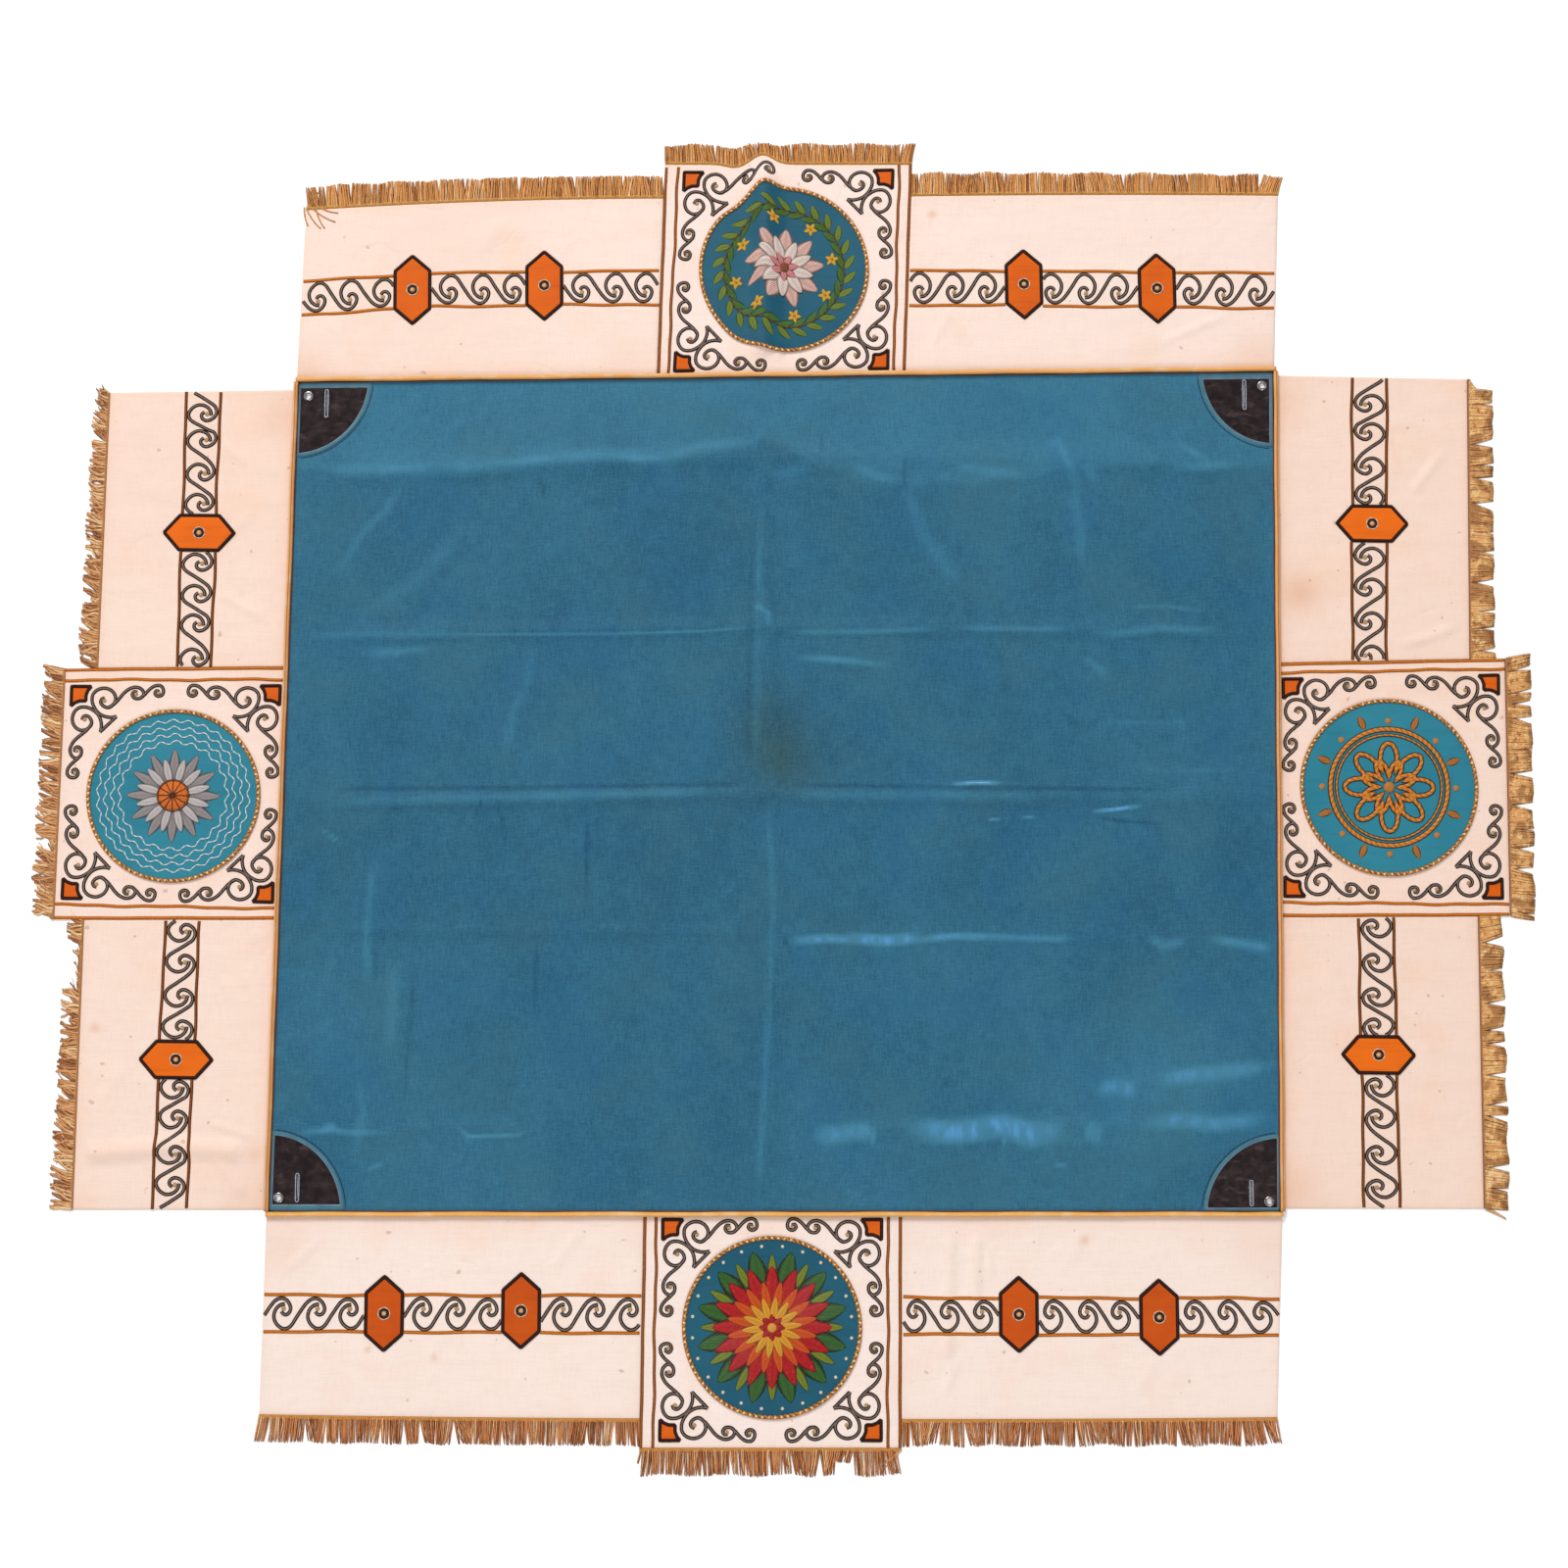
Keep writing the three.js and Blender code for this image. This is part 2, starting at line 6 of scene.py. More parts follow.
import bpy
import numpy as np
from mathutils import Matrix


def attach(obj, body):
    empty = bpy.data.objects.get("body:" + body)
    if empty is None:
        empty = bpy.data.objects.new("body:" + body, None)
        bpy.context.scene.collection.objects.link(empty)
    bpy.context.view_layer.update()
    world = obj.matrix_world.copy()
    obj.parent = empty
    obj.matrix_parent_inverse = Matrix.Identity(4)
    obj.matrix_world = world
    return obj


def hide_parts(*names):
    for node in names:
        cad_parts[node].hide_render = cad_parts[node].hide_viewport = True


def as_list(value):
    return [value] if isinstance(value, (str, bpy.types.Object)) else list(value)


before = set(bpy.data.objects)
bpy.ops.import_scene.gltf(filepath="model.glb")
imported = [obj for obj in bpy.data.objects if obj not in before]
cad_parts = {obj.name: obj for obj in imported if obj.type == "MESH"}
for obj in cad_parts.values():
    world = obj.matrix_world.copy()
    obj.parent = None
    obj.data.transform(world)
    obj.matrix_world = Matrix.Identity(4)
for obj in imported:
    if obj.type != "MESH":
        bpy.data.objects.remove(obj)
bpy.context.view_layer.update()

# The cloth's own sizes: its thickness, the gap between pieces laid on it, and that left beside a seam
CLOTH, GAP, SEAM = 2.0, 0.35, 0.2
BASE = CLOTH + GAP
PANEL = (1670.0, 1413.0)
PIPING = 8.0
CORNERS = {
    "farLeft": (-832.5, 702.0), "farRight": (838.5, 721.0),
    "nearRight": (818.5, -701.0), "nearLeft": (-851.0, -701.0),
}

# Storage creases: place at start, middle and end, height, half width, and the part of the run they reach
PANEL_ROWS = [
    (133, 135, 150, 2.6, 22, (0.54, 0.9)),
    (470, 460, 444, 2.2, 20, (0.03, 0.97)),
    (686, 694, 678, 4.2, 24, (0.01, 0.99)),
    (971, 977, 961, 3.2, 22, (0.02, 0.98)),
    (1252, 1270, 1252, 3.6, 34, (0.03, 0.97)),
]
PANEL_COLUMNS = [(829, 825, 787, 2.8, 22, (0.02, 0.98))]
BAND_COLUMNS = {
    "near_band_start": [(500, 506, 512, 3.5, 16, (0.08, 0.6)), (545, 548, 556, 3.5, 16, (0.08, 0.75))],
    "left_band_start": [(90, 102, 88, 6.0, 24, (0.1, 0.97))],
    "far_square": [(182, 181, 172, 9.0, 34, (0.06, 0.98))],
}

# Small folds: the line's points, its height (below nought for a trough) and its half width
PANEL_FOLDS = [
    ([(10, 133), (213, 137), (310, 149), (440, 131)], 1.6, 16), ([(1366, 205), (1593, 227)], 1.4, 16),
    ([(850, 915), (1053, 912)], 1.3, 14), ([(812, 1236), (1050, 1232), (1167, 1246)], -0.8, 16),
    ([(408, 952), (374, 808), (360, 718)], 1.2, 20), ([(168, 1224), (73, 1079)], 1.2, 18),
    ([(1046, 1228), (1068, 1114), (1135, 1013)], 1.2, 22),
    ([(1300, 1315), (1345, 1135), (1367, 978)], 1.1, 22), ([(136, 665), (146, 381)], 1.0, 14),
    ([(214, 434), (219, 283)], 1.0, 14), ([(426, 675), (435, 325)], 1.1, 16),
    ([(509, 663), (513, 477)], 0.9, 14), ([(1000, 440), (1010, 300)], 0.8, 16),
    ([(1180, 690), (1190, 520)], 0.8, 16), ([(930, 165), (1010, 176), (1080, 158)], -0.9, 12),
    ([(1120, 170), (1210, 152), (1300, 172)], -0.9, 12), ([(1130, 128), (1135, 70)], 1.1, 9),
    ([(1040, 126), (1046, 84)], 1.0, 8), ([(1235, 136), (1250, 92)], 1.1, 9),
    ([(1335, 144), (1341, 96)], 0.9, 8), ([(1440, 146), (1452, 88)], 1.0, 9),
    ([(600, 1290), (640, 1345)], 0.9, 14), ([(250, 1300), (300, 1352)], 0.9, 16),
]
BAND_FOLDS = {
    "left": [
        ([(151, 111), (121, 13)], 1.5, 10), ([(97, 88), (14, 31)], 1.5, 10),
        ([(1296, 123), (1250, 78)], 1.4, 10), ([(1037, 124), (981, 23)], 1.3, 12),
        ([(330, 40), (410, 118)], 0.9, 16), ([(1180, 60), (1120, 120)], 0.9, 14),
        ([(250, 230), (160, 300)], 0.8, 18), ([(590, 30), (650, 60)], 0.7, 12),
    ],
    "right": [
        ([(224, 221), (133, 289)], 1.5, 11), ([(481, 196), (436, 317)], 1.5, 12),
        ([(60, 30), (130, 110)], 0.9, 15), ([(330, 60), (400, 120)], 0.9, 15),
        ([(1000, 60), (1090, 120)], 0.9, 16), ([(1290, 200), (1360, 300)], 0.9, 18),
        ([(560, 110), (530, 30)], 1.3, 10),
    ],
    "near": [
        ([(481, 42), (482, 113)], 1.3, 9), ([(536, 228), (563, 301)], 1.3, 12),
        ([(1638, 97), (1575, 34)], 1.2, 11), ([(1141, 10), (1205, 97)], 1.2, 13),
        ([(330, 20), (350, 90)], 0.9, 12), ([(1330, 20), (1300, 100)], 0.8, 13),
        ([(200, 220), (260, 310)], 0.7, 18), ([(1500, 220), (1450, 310)], 0.7, 18),
    ],
    "far": [
        ([(1465, 44), (1600, 99)], 1.3, 11), ([(90, 60), (30, 120)], 0.9, 14),
        ([(640, 30), (632, 180)], 1.2, 11), ([(1080, 40), (1120, 110)], 0.9, 12),
        ([(820, 20), (835, 70)], 1.5, 10), ([(300, 210), (360, 290)], 0.7, 18),
    ],
}

# The four valances, as cut and laid. seam and hem are t at the ends and the two cuts, drop and deep the
# lengths of the bands and of the square at their ends, and bow how far each band's hem bulges. hexagons
# and roundel are t and s of the middle, the roundel's with its radius. The guards' rows are t, and s of
# the seam-side and the outer cord. eyes are t of the running scroll's eyes. inner_lines are the places
# of a square's inner lines from its sides, at the seam and at the hem.
VALANCES = {
    "far": dict(
        corners=("farLeft", "farRight"), seam=(0, 615, 1039.5, 1669), hem=(13, 631, 1057, 1686),
        drop=(299, 313, 312, 306), deep=(373, 368), bow=(5, 2),
        hexagons=((197, 156), (423, 161), (1245, 154), (1473, 144)), roundel=(834, 184, 146),
        guards=((0, 113.5, 172.3), (237, 126.5, 185.2), (565, 126.2, 185.0), (1170, 118.0, 178.5),
                (1670, 107.0, 168.5)),
        eyes=(35.7, 90.3, 146.5, 260.8, 316.2, 370.0, 487.6, 544.0, 595.7, 1068.8, 1125.2, 1180.5, 1293.9,
              1351.0, 1406.5, 1530.8, 1586.2, 1643.3),
        inner_lines=((19, 20), (23.4, 22)),
    ),
    "right": dict(
        corners=("farRight", "nearRight"), seam=(11, 507, 934.5, 1413), hem=(13, 494, 927.5, 1409),
        drop=(327, 323, 329.5, 331), deep=(382, 383), bow=(0, 0),
        hexagons=((266, 161.5), (1160, 161)), roundel=(715, 184, 149.5),
        guards=((11, 131.0, 189.8), (477, 125.6, 183.4), (948, 130.5, 189.4), (1413, 134.7, 192.7)),
        eyes=(59.5, 109.0, 168.6, 219.5, 324.3, 377.5, 435.3, 492.2, 949.2, 1006.2, 1063.0, 1113.1, 1211.4,
              1262.7, 1321.9, 1376.9),
        inner_lines=((17, 24), (17.5, 19)),
    ),
    "near": dict(
        corners=("nearRight", "nearLeft"), seam=(0, 625.5, 1049.5, 1669.5), hem=(15.5, 628, 1054.5, 1674),
        drop=(326, 329, 328, 321.5), deep=(374.5, 374.5), bow=(1, 1),
        hexagons=((205.5, 166), (435, 161.5), (1249, 155.5), (1473, 160)), roundel=(838.5, 182, 147.5),
        guards=((0, 136.0, 195.8), (594, 134.8, 193.0), (1076, 131.6, 191.4), (1670, 130.0, 189.0)),
        eyes=(38.5, 95.6, 150.9, 270.4, 323.8, 381.1, 495.9, 550.2, 604.4, 1070.8, 1125.4, 1179.9, 1300.2,
              1354.3, 1408.5, 1529.1, 1581.9, 1637.5),
        inner_lines=((22.5, 21), (22.5, 22.5)),
    ),
    "left": dict(
        corners=("nearLeft", "farLeft"), seam=(7, 483.5, 909, 1386), hem=(3, 478.5, 901, 1377),
        drop=(318, 321, 316.5, 317), deep=(371, 371), bow=(0, 0),
        hexagons=((250, 158.5), (1136, 155.5)), roundel=(688, 180.5, 146),
        guards=((7, 131.8, 187.4), (474, 128.4, 185.6), (914, 126.2, 184.0), (1380, 129.2, 186.1)),
        eyes=(45.5, 96.5, 154.0, 202.9, 301.9, 353.6, 410.3, 461.5, 920.6, 979.1, 1029.4, 1083.2, 1186.2,
              1238.7, 1296.6, 1341.7),
        inner_lines=((18, 22), (25, 20)),
    ),
}
# Puckers that push a side's cloth outwards: t, width and how far
PUCKERS = {"far": ((800, 24, 17), (752, 22, -6))}

# Fringe: length at both ends of a hem, and splay of its last strands
FRINGES = {
    "far_band_start": ((44, 42), (4, 0)), "far_square": ((38, 40), (3, 9)), "far_band_end": ((43, 39), (0, 9)),
    "right_band_start": ((44, 44), (6, 0)), "right_square": ((45, 43), (8, 10)),
    "right_band_end": ((42, 44), (0, 8)), "near_band_start": ((46, 44), (7, 0)),
    "near_square": ((46, 46), (6, 6)), "near_band_end": ((44, 45), (0, 9)),
    "left_band_start": ((43, 34), (3, 0)), "left_square": ((42, 41), (5, 4)),
    "left_band_end": ((38, 30), (0, 4)),
}
# Where strands have broken off near the head, as shares of the hem, and the least that is left of them
WORN, STUB = {"left_band_start": (0.75, 0.92)}, 11.0
# Locks: pitch, how unlike in length, and the share of a hem at whose ends they splay
LOCK = dict(pitch=22.0, vary=5.0, splayed=0.12)

# Corner windows: patch radii, insets of its straight sides, eyelet, and the slot's line and ends
WINDOWS = {
    "farLeft": ((124, 130), (8.5, 15), (21.5, 28.5), (53, 18, 66)),
    "farRight": ((126, 130), (11, 17), (23, 28.5), (53.5, 18, 70)),
    "nearRight": ((125, 124), (8.5, 10.5), (21.5, 20.5), (51, 13, 55)),
    "nearLeft": ((123, 131), (9.5, 16), (19, 27), (49.5, 20, 67)),
}

# One unit of the running scroll, from one eye to the next: share of the pitch, and share of the way from
# the seam-side guard to the outer one
SCROLL = [
    (0.04, 0.25), (-0.10, 0.28), (-0.24, 0.41), (-0.285, 0.61), (-0.20, 0.79), (-0.04, 0.905), (0.10, 0.91),
    (0.24, 0.82), (0.42, 0.56), (0.61, 0.30), (0.755, 0.155), (0.915, 0.095), (1.07, 0.135), (1.185, 0.275),
    (1.205, 0.42), (1.12, 0.525), (1.01, 0.53), (0.94, 0.45),
]
EYE = (0.37, 4.2)  # share of the way between the guards, and radius
PITCH, HOOK = 55.0, 0.7  # usual distance between eyes, and where the next eye's hook begins

# The corner scrolls of a square: three threads along one side, from the corner's own two edges
CORNER_THREADS = [
    [(80, 54), (70, 55.5), (58, 53), (49, 47.5), (42, 38.5), (38, 28), (39, 16.5), (47, 8.5), (59, 6),
     (70.5, 10.5), (77, 20.5), (75.5, 31), (67.5, 38.5), (58.5, 37), (52.5, 30.5), (54, 24.5), (59, 22.5)],
    [(66, 39), (76, 32), (84, 23), (91, 14.5), (99, 8), (109, 4.5), (119, 7), (124.5, 15), (120, 22.5),
     (110, 23.5), (105, 17.5), (108, 12), (113, 13)],
    [(119.5, 22.5), (126, 17), (133, 9), (142, 2.5), (152, 2), (157, 9), (156, 17), (149, 20), (143, 16),
     (145, 10.5), (150, 12)],
]
CORNER_EYES = [(58.5, 27), (111.5, 16), (149, 14)]
CORNER_EYE = 3.9  # radius
# The orange quad in the corner, and its middle
QUAD = [(2.5, 2.5), (36, 2.8), (30.5, 9), (27.4, 17), (27.4, 27.4), (17, 27.4), (9, 30.5), (2.8, 36)]
QUAD_MIDDLE = 18.0

# Hexagons: half width, half length, and the shoulder's place along it
HEXAGON = (32.0, 62.0, 34.0)
HEXAGON_TONES = {"far": 0.5, "near": 0.15, "left": 0.75, "right": 0.85}
PIPING_TONES = {"near": 1.0, "far": 0.55, "left": 0.2, "right": 0.2}

# Couched cords: width and height
CORDS = dict(guard=(5.4, 1.5), scroll=(6.2, 1.4), corner=(6.0, 1.4), line=(5.2, 1.5), hexagon=(6.4, 2.5),
             quad=(5.8, 2.0), stitch=(1.7, 1.2))


def mix(a, b, share):
    """a turning to b."""
    return a + (b - a) * share


def soft(x):
    """Rises smoothly from 0 to 1 as x does."""
    x = np.clip(x, 0, 1)
    return x * x * (3 - 2 * x)


def turn_by(count):
    """Even angles once round."""
    return 2 * np.pi * np.arange(count) / count


def unit(angle):
    """Plan directions at these angles."""
    return np.stack([np.cos(angle), np.sin(angle)], -1)


def paired(x, y):
    """Pairs of the values of two tables that are spread over each other."""
    return np.stack(np.broadcast_arrays(x, y), -1)


def raised(plan, z):
    """Plan points with their heights."""
    return np.concatenate([plan, z[..., None]], -1)


def distance(line):
    """How far along a line each of its points is, in plan."""
    return np.concatenate([[0], np.cumsum(np.hypot(*np.diff(line, axis=0)[:, :2].T))])


def to_border(u, v, width, height):
    """Distance of a place on a sheet from its nearest edge."""
    return np.minimum.reduce([u, width - u, v, height - v])


def crest(x):
    """A fold's section: half straight sides, half a cosine, 1 on its line and 0 from one half width out."""
    x = np.minimum(np.abs(x), 1)
    return 0.5 * (1 - x) + 0.25 * (1 + np.cos(np.pi * x))


def across(rows, run, width):
    """Height of creases that cross a sheet: run and width are places along and across them."""
    lift = np.zeros(np.broadcast(run, width).shape)
    for start, middle, end, high, half, (first, last) in rows:
        line = np.interp(run, [0, 0.5, 1], [start, middle, end])
        fade = soft((run - first) / 0.08) * soft((last - run) / 0.08)
        lift = np.maximum(lift, high * fade * crest((width - line) / half))
    return lift


def ridges(x, y, rows, fade=60):
    """Height of small folds: each is highest on its line of points, and fades to its sides and its ends."""
    lift = np.zeros(np.broadcast(x, y).shape)
    for points, high, half in rows:
        knots = np.array(points, float)
        steps = np.diff(knots, axis=0)
        lengths = np.hypot(*steps.T)
        before = distance(knots)
        best, end = np.zeros_like(lift), min(0.3, fade / before[-1])
        for start, step, length, run in zip(knots, steps, lengths, before):
            share = np.clip(((x - start[0]) * step[0] + (y - start[1]) * step[1]) / length**2, 0, 1)
            away = np.hypot(x - start[0] - share * step[0], y - start[1] - share * step[1])
            place = (run + share * length) / before[-1]
            best = np.maximum(best, crest(away / half) * soft(place / end) * soft((1 - place) / end))
        lift = lift + high * best
    return lift


def waves(seed, count, longest, shortest, high):
    """A table of plane waves with even random headings: wave numbers, phases and heights."""
    rng = np.random.default_rng(seed)
    length = np.exp(rng.uniform(np.log(shortest), np.log(longest), count))
    heading = rng.uniform(0, np.pi, count)
    size = high * np.sqrt(length / longest) / np.sqrt(count / 2)
    number = 2 * np.pi / length
    return number * np.cos(heading), number * np.sin(heading), rng.uniform(0, 7, count), size


SATIN_WAVES = waves(3, 22, 330, 60, 1.0)
SILK_WAVES = waves(8, 18, 200, 40, 0.6)


def rumple(x, y, table):
    """Low swells of a cloth that lies loose: the sum of the table's waves, flattened where it is below 0."""
    swell = sum(size * np.sin(kx * x + ky * y + phase) for kx, ky, phase, size in zip(*table))
    return 0.5 * (swell + np.hypot(swell, 0.9)) - 0.3


def panel_place(u, v):
    """Plan point of the panel: its four laid corners blended along both sides."""
    a, b = (np.asarray(u) / PANEL[0])[..., None], (np.asarray(v) / PANEL[1])[..., None]
    near = mix(np.array(CORNERS["nearLeft"]), np.array(CORNERS["nearRight"]), a)
    far = mix(np.array(CORNERS["farLeft"]), np.array(CORNERS["farRight"]), a)
    return mix(near, far, b)


def panel_lift(u, v):
    """Height of the panel over its flat top: creases, small folds and swells. It can't reach the floor."""
    lift = np.maximum(across(PANEL_ROWS, u / PANEL[0], v), across(PANEL_COLUMNS, v / PANEL[1], u))
    loose = soft(to_border(u, v, *PANEL) / 60)
    return np.maximum(lift + loose * (ridges(u, v, PANEL_FOLDS) + rumple(u, v, SATIN_WAVES)), -0.8)


def corner_uv(corner, x, y):
    """Panel place of a point at x and y from a corner's short and long seam."""
    u = x if corner.endswith("Left") else PANEL[0] - x
    v = y if corner.startswith("near") else PANEL[1] - y
    return u, v


def corner_point(corner, x, y):
    """Plan point at x and y from a corner's short and long seam."""
    return panel_place(*corner_uv(corner, np.asarray(x, float), np.asarray(y, float)))


class Valance:
    """One side's cloth in its own t and s."""

    def __init__(self, name, row):
        self.name = name
        self.__dict__.update(row)
        start, end = (np.array(CORNERS[corner]) for corner in self.corners)
        self.start, self.length = start, float(np.hypot(*(end - start)))
        self.along = (end - start) / self.length
        self.out = np.array([-self.along[1], self.along[0]])
        crossing = [mix(self.seam[k], self.hem[k], self.drop[k] / self.deep[k - 1]) for k in (1, 2)]
        seam, hem, drop = self.seam, self.hem, self.drop
        self.pieces = [
            Piece(self, "band_start", seam[:2], (hem[0], crossing[0]), drop[:2], self.bow[0]),
            Piece(self, "square", seam[1:3], hem[1:3], self.deep, 0),
            Piece(self, "band_end", seam[2:], (crossing[1], hem[3]), drop[2:], self.bow[1]),
        ]

    def push(self, t, s):
        """How far a pucker carries the cloth outwards: bell curves along t, whole 120 mm out."""
        share = soft((s - 20) / 100)
        rows = PUCKERS.get(self.name, ())
        return sum((far * share * np.exp(-(((t - at) / wide) ** 2)) for at, wide, far in rows),
                   np.zeros(np.broadcast(t, s).shape))

    def plan(self, t, s):
        """Plan point of a place on this side's cloth."""
        t, s = np.asarray(t, float), np.asarray(s, float)
        out = s + self.push(t, s)
        return self.start + self.along * t[..., None] + self.out * out[..., None]

    def guard(self, t):
        """s of the two guard cords, wavering a little as couched cords do."""
        rows = np.array(self.guards)
        waver = np.sin(t / 41 + self.start[0]) + 0.6 * np.sin(t / 17.3)
        return [np.interp(t, rows[:, 0], rows[:, k]) + (1, -0.7)[k - 1] * waver for k in (1, 2)]


class Piece:
    """One band or square. a and b are shares of the way along it and out from the seam."""

    def __init__(self, side, part, seam, hem, drop, bow):
        self.side, self.part, self.name = side, part, f"{side.name}_{part}"
        self.seam, self.hem, self.drop, self.bow = seam, hem, drop, bow
        self.width, self.height = seam[1] - seam[0], drop[0]

    def reach(self, a):
        """Distance from the seam to the hem."""
        return mix(self.drop[0], self.drop[1], a) + self.bow * 4 * a * (1 - a)

    def spread(self, a, b):
        """t and s of a place given in shares."""
        first = mix(self.seam[0] + SEAM, self.hem[0] + SEAM, b)
        last = mix(self.seam[1] - SEAM, self.hem[1] - SEAM, b)
        return mix(first, last, a), mix(SEAM, self.reach(a), b)

    def find(self, t, s):
        """a and b of a place on the cloth, by putting each into the other's formula a few times."""
        a = (t - self.seam[0]) / self.width
        for _ in range(3):
            b = (s - SEAM) / (self.reach(np.clip(a, 0, 1)) - SEAM)
            first, last = (mix(self.seam[k], self.hem[k], b) for k in (0, 1))
            a = (t - first) / (last - first)
        return np.clip(a, 0, 1), np.clip(b, 0, 1)

    def lift(self, a, b):
        """Height of the cloth over its flat top."""
        t, s = self.spread(a, b)
        high = across(BAND_COLUMNS.get(self.name, []), b, a * self.width)
        edge = to_border(a * self.width, b * self.height, self.width, self.height)
        x, y = np.moveaxis(self.side.plan(t, s), -1, 0)
        low = 1.5 * ridges(t, s, BAND_FOLDS[self.side.name]) + rumple(x, y, SILK_WAVES)
        return high + soft(edge / 35) * low

    def on(self, t, s, above=CLOTH):
        """Points on this piece's cloth, or a little above it."""
        t, s = np.asarray(t, float), np.asarray(s, float)
        z = self.lift(*self.find(t, s)) + above
        return raised(self.side.plan(t, s), z)


SIDES = {name: Valance(name, row) for name, row in VALANCES.items()}


class Work:
    """Grids of points gathered into one mesh. Every point carries lay, its place along and across its
    piece in millimetres, tone, from dark 0 to light 1, and dye, the colour of its thread."""

    def __init__(self):
        self.points, self.faces, self.lay, self.tone, self.dye, self.count = [], [], [], [], [], 0

    def grid(self, points, lay, tone=0.5, dye=(1, 1, 1), ring=False, keep=None, flip=False):
        """Adds one grid, or a whole stack of grids of the same size, as four-sided faces."""
        points = np.asarray(points, float)
        shape = points.shape[:-1]
        ids = np.arange(int(np.prod(shape))).reshape(shape) + self.count
        self.count += ids.size
        if ring:
            ids = np.concatenate([ids, ids[..., :1]], -1)
        faces = np.stack([ids[..., :-1, :-1], ids[..., 1:, :-1], ids[..., 1:, 1:], ids[..., :-1, 1:]], -1)
        if flip:
            faces = faces[..., ::-1]
        faces = faces[keep] if keep is not None else faces.reshape(-1, 4)
        self.points.append(points.reshape(-1, 3))
        self.faces.append(faces.reshape(-1, 4))
        self.lay.append(np.broadcast_to(lay, shape + (2,)).reshape(-1, 2))
        self.tone.append(np.broadcast_to(tone, shape).ravel())
        self.dye.append(np.broadcast_to(dye, shape + (3,)).reshape(-1, 3))

    def piece(self, name, finish, slot, replaces=()):
        """The finished mesh object, riding on the cloth's one body."""
        points, faces = np.concatenate(self.points) * 0.001, np.concatenate(self.faces)
        mesh = bpy.data.meshes.new(name)
        mesh.vertices.add(len(points))
        mesh.vertices.foreach_set("co", points.ravel())
        mesh.loops.add(faces.size)
        mesh.loops.foreach_set("vertex_index", faces.ravel().astype(np.int32))
        mesh.polygons.add(len(faces))
        mesh.polygons.foreach_set("loop_start", np.arange(0, faces.size, 4, dtype=np.int32))
        mesh.update(calc_edges=True)
        mesh.shade_smooth()
        lay = np.column_stack([np.concatenate(self.lay), np.zeros(len(points))]).ravel()
        mesh.attributes.new("lay", "FLOAT_VECTOR", "POINT").data.foreach_set("vector", lay)
        mesh.attributes.new("tone", "FLOAT", "POINT").data.foreach_set("value", np.concatenate(self.tone))
        dye = np.column_stack([np.concatenate(self.dye), np.ones(len(points))]).ravel()
        mesh.attributes.new("dye", "FLOAT_COLOR", "POINT").data.foreach_set("color", dye)
        mesh.materials.append(finish)
        made = bpy.data.objects.new(name, mesh)
        bpy.context.scene.collection.objects.link(made)
        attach(made, "root")
        if replaces:
            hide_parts(*replaces)
        return made


def even(line, step):
    """A line of points set out again at even steps."""
    run = distance(line)
    at = np.linspace(0, run[-1], max(int(round(run[-1] / step)), 3) + 1)
    return np.stack([np.interp(at, run, column) for column in np.transpose(line)], -1)


def flowing(knots, step):
    """A smooth line through its knots, each stretch a cubic whose slopes follow the knots on either side."""
    k = np.array(knots, float)
    k = np.vstack([2 * k[0] - k[1], k, 2 * k[-1] - k[-2]])
    w = np.linspace(0, 1, 9)[:-1, None, None]
    a, b, c, d = k[:-3], k[1:-2], k[2:-1], k[3:]
    line = 0.5 * (2 * b + (c - a) * w + (2 * a - 5 * b + 4 * c - d) * w**2 + (3 * b - a - 3 * c + d) * w**3)
    return even(np.vstack([line.transpose(1, 0, 2).reshape(-1, 2), k[-2:-1]]), step)


# Sections of a cord, low for thread and round for cord: share of the half width, and of the height
LOW_ARCH = np.array([(-1, 0), (-0.55, 1), (0.55, 1), (1, 0)])
ARCH = np.array([(-1, 0), (-0.8, 0.62), (-0.3, 1), (0.3, 1), (0.8, 0.62), (1, 0)])


def rightwards(line, closed):
    """Unit vectors across a line at each of its points, to the right of the way it runs."""
    ahead = np.roll(line, -1, 0) - np.roll(line, 1, 0) if closed else np.gradient(line, axis=0)
    ahead = ahead[:, :2] / np.maximum(np.hypot(*ahead[:, :2].T), 1e-9)[:, None]
    return np.stack([ahead[:, 1], -ahead[:, 0]], -1)


def cord(work, line, width, high, section=LOW_ARCH, dye=(1, 1, 1), closed=False):
    """A cord couched on the cloth: a low arch carried along a line of points. Both ends close to a point."""
    line = np.asarray(line, float)
    aside, run, size = rightwards(line, closed), distance(line), np.ones(len(line))
    if closed:
        line, aside, run, size = (np.concatenate([x, x[:1]]) for x in (line, aside, run, size))
        run[-1] = run[-2] + np.hypot(*(line[-1] - line[-2])[:2])
    else:
        line, aside, run = (np.concatenate([x[:1], x, x[-1:]]) for x in (line, aside, run))
        size = np.concatenate([[0], size, [0]])
    across_it, up = section.T
    flat = line[:, None, :2] - aside[:, None] * (across_it * width / 2)[None, :, None] * size[:, None, None]
    rise = line[:, None, 2] + up[None] * high * size[:, None]
    work.grid(raised(flat, rise), paired(run[:, None], across_it[None]), 0.5, dye, ring=True, flip=True)


